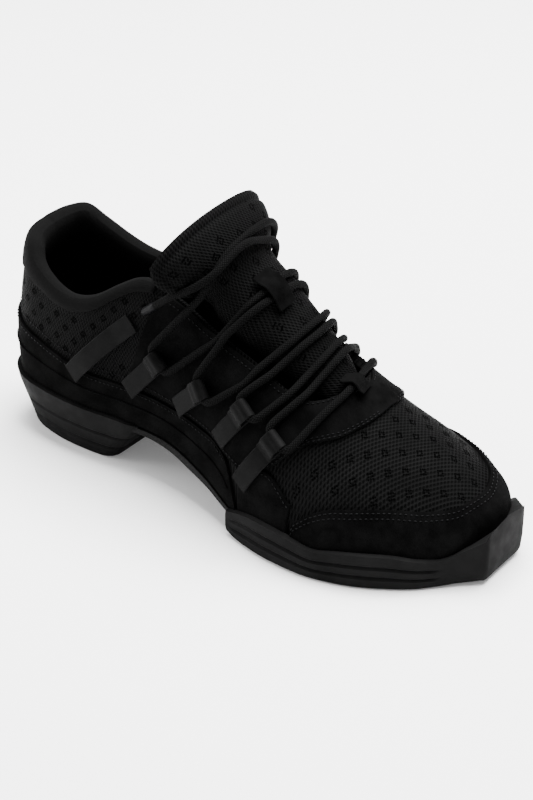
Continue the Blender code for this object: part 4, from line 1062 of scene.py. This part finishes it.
class SNEAKER_OT_collar(bpy.types.Operator):
    """Padded collar: a thin cuff outside, a roll over the top edge and a foam pad inside."""

    bl_idname = "sneaker.collar"
    bl_label = "Padded collar"

    def execute(self, context):
        turns = dense_turns(1 - 0.447, 1 + 0.447)
        station = station_of(turns)
        top = rise_at(turns, top_height(turns))
        cuff = rise_at(turns, top_height(turns) - flow(TOP, "cuff", station))
        pad = flow(TOP, "pad", station)
        metre = rise_per_metre(turns, top)
        inside = -(UPPER_WALL + CLEARANCE)
        gap, wall = -0.0002, OVERLAY_WALL + OVERLAY_GAP
        middle = (cuff + top) / 2
        path = [
            (cuff, gap + wall * 0.9, cuff, gap),
            (middle, gap + wall + 0.0006, middle, gap),
            (top - 0.0010 * metre, gap + wall + 0.0005, top - 0.0010 * metre, gap),
            (top + 0.0016 * metre, gap + 0.7 * wall, top + 0.0004 * metre, gap),
            (top + 0.0028 * metre, inside / 2, top + 0.0004 * metre, inside / 2),
            (top + 0.0018 * metre, inside - 0.6 * pad, top + 0.0004 * metre, inside),
            (top - 0.0020 * metre, inside - pad, top - 0.0010 * metre, inside),
            (top - 0.0100 * metre, inside - pad, top - 0.0100 * metre, inside),
            (top - 0.0200 * metre, inside - 0.4 * pad - 0.001, top - 0.0200 * metre, inside),
        ]
        zero = np.zeros(len(turns))
        outer = np.array([skin(turns, rise, zero + out) for rise, out, _, _ in path])
        inner = np.array([skin(turns, rise, zero + out) for _, _, rise, out in path])
        uvs = np.stack([arc_lengths(outer, 1), arc_lengths(outer, 0)], -1)
        collar = slab("collar_padded", outer, inner, [finish_of(brushed_lining)], uvs)
        rounder = collar.modifiers.new("round", "SUBSURF")
        rounder.levels = rounder.render_levels = 1
        seat(bake(collar), "lining", "collar_cuff")
        return {"FINISHED"}


def tongue_grid(across_count, along_count):
    """The tongue's outside, from its top end down: rows along it, columns across."""
    table = np.array(TONGUE)
    slopes = np.gradient(table, axis=0)
    wanted = np.linspace(0, len(table) - 1, along_count)
    low = np.clip(wanted.astype(int), 0, len(table) - 2)
    rows = cubic(table[low], table[low + 1], slopes[low], slopes[low + 1], (wanted - low)[:, None])
    share = np.linspace(0, 1, across_count)[:, None]
    fall = 1 - share
    grid = []
    for row in rows:
        row = Flap(*row)
        arch = []
        for side, edge_y in ((-1, -row.lateral), (1, row.medial)):
            crown = np.array([row.crown_x, row.crown_y, row.crown_z])
            edge = np.array([row.edge_x, edge_y, row.edge_z])
            shoulder = row.shoulder * (FAR_SHOULDER if side > 0 else 1)
            flat = crown + [0, side * shoulder * 0.75, 0]
            wing = (crown + edge) / 2
            wing[1] = side * shoulder
            arch.append(fall**3 * crown + 3 * fall**2 * share * flat
                        + 3 * fall * share**2 * wing + share**3 * edge)
        grid.append(np.concatenate([arch[0][::-1], arch[1][1:]]))
    across = np.concatenate([-share[::-1, 0], share[1:, 0]])
    return np.array(grid), across, np.linspace(0, 1, along_count)[:, None]


class SNEAKER_OT_tongue(bpy.types.Operator):
    """Padded mesh tongue with a rolled edge and two soft quilting troughs."""

    bl_idname = "sneaker.tongue"
    bl_label = "Padded tongue"

    def execute(self, context):
        outer, across, along = tongue_grid(34, 110)
        wall = TONGUE_EDGE + (TONGUE_WALL - TONGUE_EDGE) * (1 - across**4)
        thin = np.clip(np.minimum(along + 0.055, 1.04 - along) / 0.12, 0.4, 1)
        out = grid_normal(outer)
        inner = outer - out * (wall * thin)[..., None]
        run, width = arc_lengths(outer, 0), arc_lengths(outer, 1)
        uvs = np.stack([width, run], -1)
        edge = np.minimum(run, np.minimum(width, width[:, -1:] - width))
        trough = -0.0009 * np.exp(-(((edge - 0.0052) / 0.0013) ** 2))
        trough += 0.0005 * np.exp(-(((edge - 0.0022) / 0.0016) ** 2))
        swell = 0.0008 * np.sin(run / 0.022 * np.pi) * (1 - across**2)
        outer = outer + out * (trough + swell * (along < 0.55))[..., None]
        finishes = [finish_of(sandwich_mesh), finish_of(brushed_lining)]
        tongue = slab("tongue_padded", outer, inner, finishes, uvs)
        seat(soften(tongue, TONGUE_ROUND, 3, 50), "mesh", "tongue")
        return {"FINISHED"}


def rings_round(turns, steps):
    """Rings round the feather line, each pushed out and lifted by one step."""
    rings = []
    for out, lift in steps:
        ring = outline(turns, out)
        ring[:, 2] += lift
        rings.append(ring)
    return rings


class SNEAKER_OT_soles(bpy.types.Operator):
    """Heel block, forefoot sole, shank board and insole."""

    bl_idname = "sneaker.soles"
    bl_label = "Soles"

    def tray(self):
        """The room for the upper and the board, to be cut from both soles."""
        stations = [*np.linspace(0, 0.9, 80), *np.linspace(0.9, 1, 18)]
        turns = both_sides(np.unique(stations))
        steps = [(TRAY_SPREAD, -BOARD_WALL - 2 * CLEARANCE), (TRAY_SPREAD, 0.012),
                 (TRAY_SPREAD + TRAY_FLARE, 0.030)]
        return loft("tray", rings_round(turns, steps), [finish_of(shank_board)], ladder=True)

    def finish_sole(self, sole, tray, node):
        cut = sole.modifiers.new("tray", "BOOLEAN")
        cut.operation = "DIFFERENCE"
        cut.solver = "EXACT"
        cut.object = tray
        bake(sole)
        sole.data.shade_smooth()
        sole.data.set_sharp_from_angle(angle=math.radians(32))
        seat(soften(sole, SOLE_ROUND, 2, 32), "rubber_grey", node)

    def heel(self, tray):
        """Rows of the heel's side up from the floor; the breast's two corners are rounded off."""
        shares = [*np.linspace(0, 0.915, 42), 0.932, 0.95, 0.966, 0.979, 0.989, 0.996, 1.0]
        shares = np.array(shares)
        turned = np.clip((shares - 0.92) / 0.08, 0, 1)
        breast = BREAST_ROUND * (1 - np.sqrt(1 - turned**2))
        breast = np.concatenate([breast, breast[::-1]])
        rings = []
        for row in HEEL_SIDE:
            turns = both_sides(shares * row.breast)
            station = station_of(turns)
            groove = GROOVE * row.groove * np.clip((station - 0.05) / 0.05, 0, 1)
            out = row.side + (row.back - row.side) * np.exp(-((station / 0.13) ** 2)) - groove
            ring = outline(turns, out - breast * (1 - 0.6 * row.height))
            ring[:, 2] = (ring[:, 2] + HEEL_LIP) * row.height
            rings.append(ring)
        sole = loft("heel_block", rings, [finish_of(moulded_rubber)], ladder=True)
        self.finish_sole(sole, tray, "heel_sole")

    def forefoot(self, tray):
        """The forefoot sole, whose front stations lie on the flat front of the toe block."""
        stations = [*np.linspace(FORE_SOLE[0].station, 0.973, 64), 0.982, 0.985, 0.988, 0.991, 1.0]
        turns = both_sides(stations)
        station = station_of(turns)
        under = straight(FORE_SOLE, "under", station)
        top = np.where(station < 0.974, flow(FORE_SOLE, "top", station),
                       straight(FORE_SOLE, "top", station))
        raised = np.clip((station - 0.958) / 0.013, 0, 1) * (turns > 0) * (station < 0.974)
        top += BUMPER_RISE * raised**2 * (3 - 2 * raised)
        grooved = np.clip((station - 0.69) / 0.01, 0, 1) * np.clip((0.965 - station) / 0.01, 0, 1)
        corners = []
        for side, across, bend_by in zip((-1, 1), BUMPER_CORNERS, BUMPER_ROUND):
            bend = (turns * side > 0) & (station > 0.98) & (station < 0.992)
            share = ((station[bend] - 0.982) / 0.009)[:, None]
            top[bend] -= 0.2 * bend_by * (1 - share[:, 0])
            under[bend] += 0.6 * bend_by * (1 - share[:, 0])
            corners.append((side, across, bend_by, bend, share))
        rings = []
        for row in FORE_SIDE:
            ring = outline(turns, row.side - GROOVE * row.groove * grooved)
            edge = BUMPER_FRONT - (SOLE_SPREAD - row.side)
            ring[station > 0.98, 0] = edge
            for side, across, bend_by, bend, share in corners:
                before = ring[(turns * side > 0) & (np.abs(station - 0.973) < 1e-6), :2][0]
                corner = np.array([edge, across])
                back = corner + unit(before - corner) * bend_by
                front = corner - [0, side * bend_by]
                ring[bend, :2] = ((1 - share) ** 2 * back + 2 * share * (1 - share) * corner
                                  + share**2 * front)
            ring[:, 2] = under + (top - under) * row.height
            rings.append(ring)
        sole = loft("forefoot_sole_rubber", rings, [finish_of(moulded_rubber)], ladder=True)
        self.finish_sole(sole, tray, "forefoot_sole")

    def board_and_insole(self):
        """The board is thicker at the bare waist between the two soles."""
        turns = both_sides(np.linspace(0, 1, 100))
        waist = 0.0018 * np.clip(1 - np.abs(station_of(turns) - 0.555) / 0.105, 0, 1)
        steps = [(BOARD_SPREAD + out, -(CLEARANCE + (BOARD_WALL + waist) * share))
                 for share, out in ((1.0, -0.0008), (0.8, 0.0), (0.0, 0.0))]
        shank = loft("midsole_board", rings_round(turns, steps), [finish_of(shank_board)],
                     ladder=True)
        seat(soften(shank, BOARD_ROUND), "board", "midsole")
        steps = [(out - (UPPER_WALL + INSOLE_GAP), INSOLE_GAP + INSOLE_WALL * share)
                 for share, out in ((0.0, 0.0), (0.8, 0.0), (1.0, -0.0008))]
        insole = loft("insole_sock", rings_round(turns, steps), [finish_of(brushed_lining)],
                      ladder=True)
        seat(insole, "sock", "insole")

    def execute(self, context):
        tray = self.tray()
        self.heel(tray)
        self.forefoot(tray)
        bpy.data.objects.remove(tray)
        self.board_and_insole()
        return {"FINISHED"}


def band(name, path, across, wall, width, finish):
    """A strap along a path with rounded edges."""
    path = smooth_path(path, 0.0008)
    ahead = np.gradient(path, axis=0)
    across = unit(np.broadcast_to(across, path.shape))
    out = unit(np.cross(ahead, across))
    round_by = wall * 0.4
    corners = [(1, 1, 0), (1, 0, 1), (1, 0, -1), (1, -1, 0), (-1, -1, 0), (-1, 0, -1),
               (-1, 0, 1), (-1, 1, 0)]
    ring = []
    for side, flat, tip in corners:
        reach = width / 2 - (round_by if flat else 0)
        rise = flat * wall / 2 + tip * (wall / 2 - round_by)
        ring.append(path + across * side * reach + out * rise)
    return loft(name, np.stack(ring, 1), [finish])


def strap_path(name):
    """A strap's middle line: up the last, and on all but the first one round the cord and back."""
    row, side = STRAPS[name], -1 if "lateral" in name else 1
    head, ahead, out, across = strap_frame(name)
    path = []
    for share in np.linspace(0, 1, 9):
        station = row.foot_station + (row.head_station - row.foot_station) * share
        height = row.foot + (row.head - row.foot) * share
        rising = np.clip(share * 2 - 0.5, 0, 1)
        lift = row.foot_lift + (row.head_lift - row.foot_lift) * rising
        path.append(place(side, station, height, lift + STRAP_WALL / 2)[0])
    if not name.endswith("_1"):
        radius = LACE_WIDTH / 2 + LACE_GAP + STRAP_WALL / 2
        centre = head + out * radius
        for angle in np.radians([-60, -30, 0, 30, 60, 90, 120]):
            path.append(centre + (ahead * np.cos(angle) + out * np.sin(angle)) * radius)
        back = STRAP_WALL + CLEARANCE
        path.append(head + out * (back + 1.35 * radius) - ahead * STRAP_RETURN * 0.4)
        path.append(head + out * (back + 0.0006) - ahead * STRAP_RETURN * 0.8)
        path.append(head + out * back - ahead * STRAP_RETURN)
    return path, across


class SNEAKER_OT_straps(bpy.types.Operator):
    """Straps that run up from the foxing and fold round the cord, and two keepers."""

    bl_idname = "sneaker.straps"
    bl_label = "Straps"

    def execute(self, context):
        for name in STRAPS:
            path, across = strap_path(name)
            piece = band(name + "_coated", path, across, STRAP_WALL, strap_width(name),
                         finish_of(coated_webbing))
            seat(piece, "webbing", name)
        for name, (path, across) in KEEPER_PATHS.items():
            piece = band(name + "_suede", np.array(path) / 1000, np.array(across), STRAP_WALL,
                         KEEPER_WIDTH, finish_of(napped_suede))
            seat(piece, "webbing", name)
        return {"FINISHED"}


class SNEAKER_OT_laces(bpy.types.Operator):
    """The zigzag cord, its free end and the tip on it."""

    bl_idname = "sneaker.laces"
    bl_label = "Laces"

    def execute(self, context):
        sides = context.scene.sneaker_sizes.cord_sides
        cord = finish_of(braided_cord)
        lace = tube("lace_zigzag", eased(LACE_ROUTE, LACE_STEP), LACE_WIDTH, cord, sides)
        seat(lace, "cord", "lace")
        path = eased(FREE_ROUTE, LACE_STEP)
        stop = int(TIP_LENGTH / LACE_STEP)
        free, last = path[:-stop], path[-stop - 1 :]
        end = tube("lace_free_end", free, LACE_WIDTH, cord, sides)
        seat(end, "cord", "lace_end")
        widths = TIP_WIDTH * np.array([0.86, 0.98, *np.ones(len(last) - 4), 0.96, 0.7])
        tip = tube("lace_tip_dipped", last, widths, finish_of(moulded_tip), sides)
        seat(tip, "tip", "lace_tip")
        return {"FINISHED"}


# What repeats: stitches and perforations


def new_tree(name, sizes):
    """A geometry tree with a Geometry in and out, and named inputs for its sizes."""
    tree = bpy.data.node_groups.new(name, "GeometryNodeTree")
    tree.interface.new_socket("Geometry", in_out="INPUT", socket_type="NodeSocketGeometry")
    for size, kind in sizes:
        tree.interface.new_socket(size, in_out="INPUT", socket_type=kind)
    tree.interface.new_socket("Geometry", in_out="OUTPUT", socket_type="NodeSocketGeometry")
    return tree, add(tree, "NodeGroupInput").outputs


def apply_tree(obj, tree, values):
    """Runs a tree on an object and keeps the result as its mesh."""
    run = obj.modifiers.new(tree.name, "NODES")
    run.node_group = tree
    for item in tree.interface.items_tree:
        if item.in_out == "INPUT" and item.name in values:
            run[item.identifier] = values[item.name]
    return bake(obj)


def close_tree(tree, instances, material):
    real = add(tree, "GeometryNodeRealizeInstances", {0: instances})
    painted = add(tree, "GeometryNodeSetMaterial", {0: real.outputs[0], "Material": material})
    add(tree, "NodeGroupOutput", {0: painted.outputs[0]})
    return tree


def stitch_tree():
    """A run of short threads along every edge line of the mesh it is put on."""
    sizes = [("Pitch", "NodeSocketFloat"), ("Width", "NodeSocketFloat"),
             ("Finish", "NodeSocketMaterial")]
    tree, given = new_tree("stitches", sizes)
    line = add(tree, "GeometryNodeMeshToCurve", {0: given["Geometry"]})
    even = add(tree, "GeometryNodeResampleCurve", {"Curve": line.outputs[0],
                                                   "Length": given["Pitch"]}, mode="LENGTH")
    tangent = add(tree, "GeometryNodeInputTangent")
    turn = add(tree, "FunctionNodeAlignRotationToVector", {"Vector": tangent.outputs[0]}, axis="X")
    long = add(tree, "ShaderNodeMath", {0: given["Pitch"], 1: 0.33}, operation="MULTIPLY")
    thick = add(tree, "ShaderNodeMath", {0: given["Width"], 1: 0.5}, operation="MULTIPLY")
    size = add(tree, "ShaderNodeCombineXYZ", {0: long.outputs[0], 1: thick.outputs[0],
                                              2: thick.outputs[0]})
    thread = add(tree, "GeometryNodeMeshUVSphere", {"Segments": 6, "Rings": 5, "Radius": 1.0})
    rows = add(tree, "GeometryNodeInstanceOnPoints", {
        "Points": even.outputs[0], "Instance": thread.outputs[0],
        "Rotation": turn.outputs[0], "Scale": size.outputs[0]})
    return close_tree(tree, rows.outputs[0], given["Finish"])


def hole_tree():
    """A dark disc at every point, lying square to the point's way out."""
    sizes = [("Width", "NodeSocketFloat"), ("Seed", "NodeSocketInt"),
             ("Finish", "NodeSocketMaterial")]
    tree, given = new_tree("perforations", sizes)
    out = add(tree, "GeometryNodeInputNamedAttribute", {"Name": "out"}, data_type="FLOAT_VECTOR")
    turn = add(tree, "FunctionNodeAlignRotationToVector", {"Vector": out.outputs[0]}, axis="Z")
    radius = add(tree, "ShaderNodeMath", {0: given["Width"], 1: 0.5}, operation="MULTIPLY")
    disc = add(tree, "GeometryNodeMeshCircle", {"Vertices": 8, "Radius": radius.outputs[0]},
               fill_type="NGON")
    vary = add(tree, "FunctionNodeRandomValue", {2: 0.85, 3: 1.1, "Seed": given["Seed"]},
               data_type="FLOAT")
    holes = add(tree, "GeometryNodeInstanceOnPoints", {
        "Points": given["Geometry"], "Instance": disc.outputs[0],
        "Rotation": turn.outputs[0], "Scale": vary.outputs[1]})
    return close_tree(tree, holes.outputs[0], given["Finish"])


def edge_line(turns, heights, inwards, lift):
    """A line on the last that runs this far in from an edge of a piece, in metres."""
    rises = rise_at(turns, heights)
    rises = rises - inwards * rise_per_metre(turns, np.minimum(rises, 0.99))
    return skin(turns, rises, np.full(len(turns), lift))


def seam_lines():
    """Every stitch line of the upper, as rows of points."""
    lines = []
    start = TOE_GUARD[0].station + 0.006
    turns = np.linspace(start - 1, 1 - start, 160)
    lift = SUEDE_LIFT + THREAD_LIFT
    for inwards in (SEAM_INSET, SECOND_SEAM_INSET):
        lines.append(edge_line(turns, edge_height(TOE_GUARD, turns), inwards, lift))
    for side in (-1, 1):
        turns = side * (1 - np.linspace(0.03, 0.655, 120))
        heights = edge_height(FOXING, turns)
        lines.append(edge_line(turns, heights, SEAM_INSET, lift))
        lines.append(edge_line(turns, heights, MESH_SEAM_INSET, MESH_SEAM_LIFT))
        turns = side * (1 - np.linspace(0.702, 0.795, 30))
        heights = edge_height(SIDE_PANEL, turns)
        lines.append(edge_line(turns, heights, SEAM_INSET, PANEL_LIFT + THREAD_LIFT))
        table = np.array(STAY)
        fine = np.linspace(0, len(table) - 1, 160)
        reach = np.arange(len(table))
        outer_s, outer_h, inner_s, inner_h = (np.interp(fine, reach, c) for c in table.T)
        for share, low, high in ((0.035, 0.0, 12.6), (0.10, 8.0, 12.6), (0.94, 0.6, 12.2)):
            kept = (fine >= low) & (fine <= high)
            station = (outer_s + (inner_s - outer_s) * share)[kept]
            rise = rise_at(side * (1 - outer_s[kept]), outer_h[kept])
            top = rise_at(side * (1 - inner_s[kept]), inner_h[kept])
            rises = rise + (top - rise) * share
            over = np.full(len(rises), STAY_GAP + OVERLAY_WALL + THREAD_LIFT)
            lines.append(skin(side * (1 - station), rises, over))
    return lines


class SNEAKER_OT_stitches(bpy.types.Operator):
    """Stitch rows along the edges of the overlays."""

    bl_idname = "sneaker.stitches"
    bl_label = "Stitches"

    def execute(self, context):
        sizes = context.scene.sneaker_sizes
        points, edges = [], []
        for line in seam_lines():
            first = len(points)
            points += [tuple(p) for p in line]
            edges += [(first + i, first + i + 1) for i in range(len(line) - 1)]
        mesh = bpy.data.meshes.new("stitches")
        mesh.from_pydata(points, edges, [])
        obj = bpy.data.objects.new("stitches", mesh)
        context.scene.collection.objects.link(obj)
        apply_tree(obj, stitch_tree(), {
            "Pitch": sizes.stitch_pitch, "Width": sizes.stitch_width,
            "Finish": finish_of(sewing_thread)})
        obj.data.shade_smooth()
        seat(obj, "suede")
        return {"FINISHED"}


def tree_of(names):
    """One tree of the faces of several pieces, and the piece that each face is of."""
    points, faces, owner = [], [], []
    for name in names:
        mesh = bpy.data.objects[name].data
        first = len(points)
        points += [vertex.co.copy() for vertex in mesh.vertices]
        faces += [[first + i for i in face.vertices] for face in mesh.polygons]
        owner += [name] * len(mesh.polygons)
    return BVHTree.FromPolygons(points, faces), owner


# Where holes are punched: the piece, the two axes of the grid and how far it reaches along both,
# and the way that a ray goes to find the piece, with the place on the third axis where it starts
Field = namedtuple("Field", "piece first second across up way start")
HOLE_FIELDS = [
    Field("upper_mesh", 0, 1, (0.145, 0.225), (-0.05, 0.05), Vector((0, 0, -1)), 0.2),
    Field("upper_mesh", 0, 2, (-0.042, 0.075), (0.035, 0.095), Vector((0, 1, 0)), -0.2),
    Field("upper_mesh", 0, 2, (-0.042, 0.075), (0.035, 0.095), Vector((0, -1, 0)), 0.2),
    Field("tongue_padded", 1, 2, (-0.045, 0.045), (0.075, 0.135), Vector((-1, 0, 0)), 0.4),
]


def hole_points(pitch):
    """Centres of the punched holes and the way out at each, in square rings of eight."""
    tree, owner = tree_of(["upper_mesh", "toe_guard_suede", "throat_stay_suede", "foxing_suede",
                           "collar_padded", "tongue_padded", "strap_lateral_1_coated",
                           "strap_medial_1_coated"])
    half = HOLE_STEP * DIAGONAL
    ring = [(1, 1), (1, -1), (-1, 1), (-1, -1), (2, 0), (-2, 0), (0, 2), (0, -2)]
    margin = [(3, 0), (-3, 0), (0, 3), (0, -3)]
    span = int(0.3 / pitch)
    found = []
    for field in HOLE_FIELDS:
        for i, j in product(range(-span, span), repeat=2):
            across = (i + j) * pitch * DIAGONAL + 0.004
            up = (i - j) * pitch * DIAGONAL
            if not (field.across[0] < across < field.across[1] and field.up[0] < up < field.up[1]):
                continue
            spots = []
            for da, db in ring + margin:
                origin = [field.start] * 3
                origin[field.first] = across + da * half
                origin[field.second] = up + db * half
                hit, normal, index, _ = tree.ray_cast(Vector(origin), field.way)
                if hit is None or owner[index] != field.piece or normal.dot(field.way) > -0.25:
                    break
                spots.append((hit + normal * 0.00006, normal))
            else:
                found += spots[: len(ring)]
    return found


class SNEAKER_OT_perforations(bpy.types.Operator):
    """Square rings of eight punched holes in the mesh of the vamp, quarters and tongue."""

    bl_idname = "sneaker.perforations"
    bl_label = "Perforations"

    def execute(self, context):
        sizes = context.scene.sneaker_sizes
        found = hole_points(sizes.ring_pitch)
        if not found:
            raise RuntimeError("no place for the perforations was found on the mesh")
        mesh = bpy.data.meshes.new("perforations")
        mesh.from_pydata([spot for spot, _ in found], [], [])
        out = mesh.attributes.new("out", "FLOAT_VECTOR", "POINT")
        out.data.foreach_set("vector", np.array([n for _, n in found], np.float32).ravel())
        obj = bpy.data.objects.new("perforations", mesh)
        context.scene.collection.objects.link(obj)
        apply_tree(obj, hole_tree(), {"Width": sizes.hole_width, "Seed": 7,
                                      "Finish": finish_of(hole_dark)})
        seat(obj, "mesh")
        return {"FINISHED"}


class SNEAKER_OT_piping(bpy.types.Operator):
    """Thin corded piping along the middle of the foxing."""

    bl_idname = "sneaker.piping"
    bl_label = "Piping"

    def execute(self, context):
        for side, name in ((-1, "piping_lateral"), (1, "piping_medial")):
            turns = side * (1 - np.linspace(0.02, 0.672, 150))
            rises = rise_at(turns, edge_height(FOXING, turns) * PIPING_HEIGHT)
            path = skin(turns, rises, np.full(len(turns), PIPING_LIFT))
            piece = tube(name, path, PIPING_WIDTH, finish_of(napped_suede), 8)
            seat(piece, "suede")
        return {"FINISHED"}


class SNEAKER_OT_stage(bpy.types.Operator):
    """White paper floor, soft studio light and the camera."""

    bl_idname = "sneaker.stage"
    bl_label = "Stage"

    def light(self, name, place_at, aim, size, power):
        lamp = bpy.data.lights.new(name, "AREA")
        lamp.shape = "RECTANGLE"
        lamp.size, lamp.size_y = size
        lamp.energy = power
        obj = bpy.data.objects.new(name, lamp)
        obj.location = place_at
        obj.rotation_euler = (Vector(aim) - Vector(place_at)).to_track_quat("-Z", "Y").to_euler()
        bpy.context.scene.collection.objects.link(obj)

    def execute(self, context):
        mesh = bpy.data.meshes.new("floor_paper")
        far = FLOOR_REACH
        mesh.from_pydata([(-far, -far, 0), (far, -far, 0), (far, far, 0), (-far, far, 0)], [],
                         [(0, 1, 2, 3)])
        mesh.materials.append(finish_of(studio_paper))
        floor = bpy.data.objects.new("floor_paper", mesh)
        context.scene.collection.objects.link(floor)
        world = bpy.data.worlds.new("studio")
        world.use_nodes = True
        world.node_tree.nodes["Background"].inputs[0].default_value = (1, 1, 1, 1)
        world.node_tree.nodes["Background"].inputs[1].default_value = WORLD_LIGHT
        context.scene.world = world
        for name, place_at, size, power in LAMPS:
            self.light(name, place_at, LAMPS_AIM, size, power)
        turn, tilt, roll = map(math.radians, (CAMERA_TURN, CAMERA_TILT, CAMERA_ROLL))
        right = Vector((math.cos(turn), math.sin(turn), 0))
        level = Vector((-math.sin(turn), math.cos(turn), 0))
        ahead = level * math.cos(tilt) - Vector((0, 0, math.sin(tilt)))
        up = right.cross(ahead)
        right, up = (right * math.cos(roll) + up * math.sin(roll),
                     up * math.cos(roll) - right * math.sin(roll))
        lens = bpy.data.cameras.new("camera")
        lens.lens = LENS
        lens.sensor_width = SENSOR
        lens.clip_start, lens.clip_end = 0.05, 20
        camera = bpy.data.objects.new("camera", lens)
        camera.matrix_world = Matrix((right, up, -ahead)).transposed().to_4x4()
        camera.location = Vector(CAMERA_AIM) - ahead * CAMERA_DISTANCE
        context.scene.collection.objects.link(camera)
        context.scene.camera = camera
        return {"FINISHED"}


OPERATORS = [
    SNEAKER_OT_stage, SNEAKER_OT_laces, SNEAKER_OT_upper, SNEAKER_OT_overlays, SNEAKER_OT_collar,
    SNEAKER_OT_tongue, SNEAKER_OT_soles, SNEAKER_OT_straps, SNEAKER_OT_piping,
    SNEAKER_OT_stitches, SNEAKER_OT_perforations,
]


class SNEAKER_PT_pieces(bpy.types.Panel):
    """Lists the sizes and colours, and a button for each group of pieces and the stage."""

    bl_label = "Dance sneaker"
    bl_idname = "SNEAKER_PT_pieces"
    bl_space_type = "VIEW_3D"
    bl_region_type = "UI"
    bl_category = "Sneaker"

    def draw(self, context):
        scene = context.scene
        groups = [(SneakerSizes, scene.sneaker_sizes), (SneakerColours, scene.sneaker_colours)]
        for kind, group in groups:
            for name in kind.__annotations__:
                self.layout.prop(group, name)
        for operator in OPERATORS:
            self.layout.operator(operator.bl_idname)


CLASSES = [SneakerSizes, SneakerColours, *OPERATORS, SNEAKER_PT_pieces]


def register():
    for made in CLASSES:
        bpy.utils.register_class(made)
    bpy.types.Scene.sneaker_sizes = PointerProperty(type=SneakerSizes)
    bpy.types.Scene.sneaker_colours = PointerProperty(type=SneakerColours)


def unregister():
    del bpy.types.Scene.sneaker_colours
    del bpy.types.Scene.sneaker_sizes
    for made in reversed(CLASSES):
        bpy.utils.unregister_class(made)


def main():
    register()
    for name in ("Cube", "Light", "Camera"):
        left = bpy.data.objects.get(name)
        if left is not None:
            bpy.data.objects.remove(left)
    for operator in OPERATORS:
        family, name = operator.bl_idname.split(".")
        getattr(getattr(bpy.ops, family), name)()


if __name__ == "__main__":
    main()
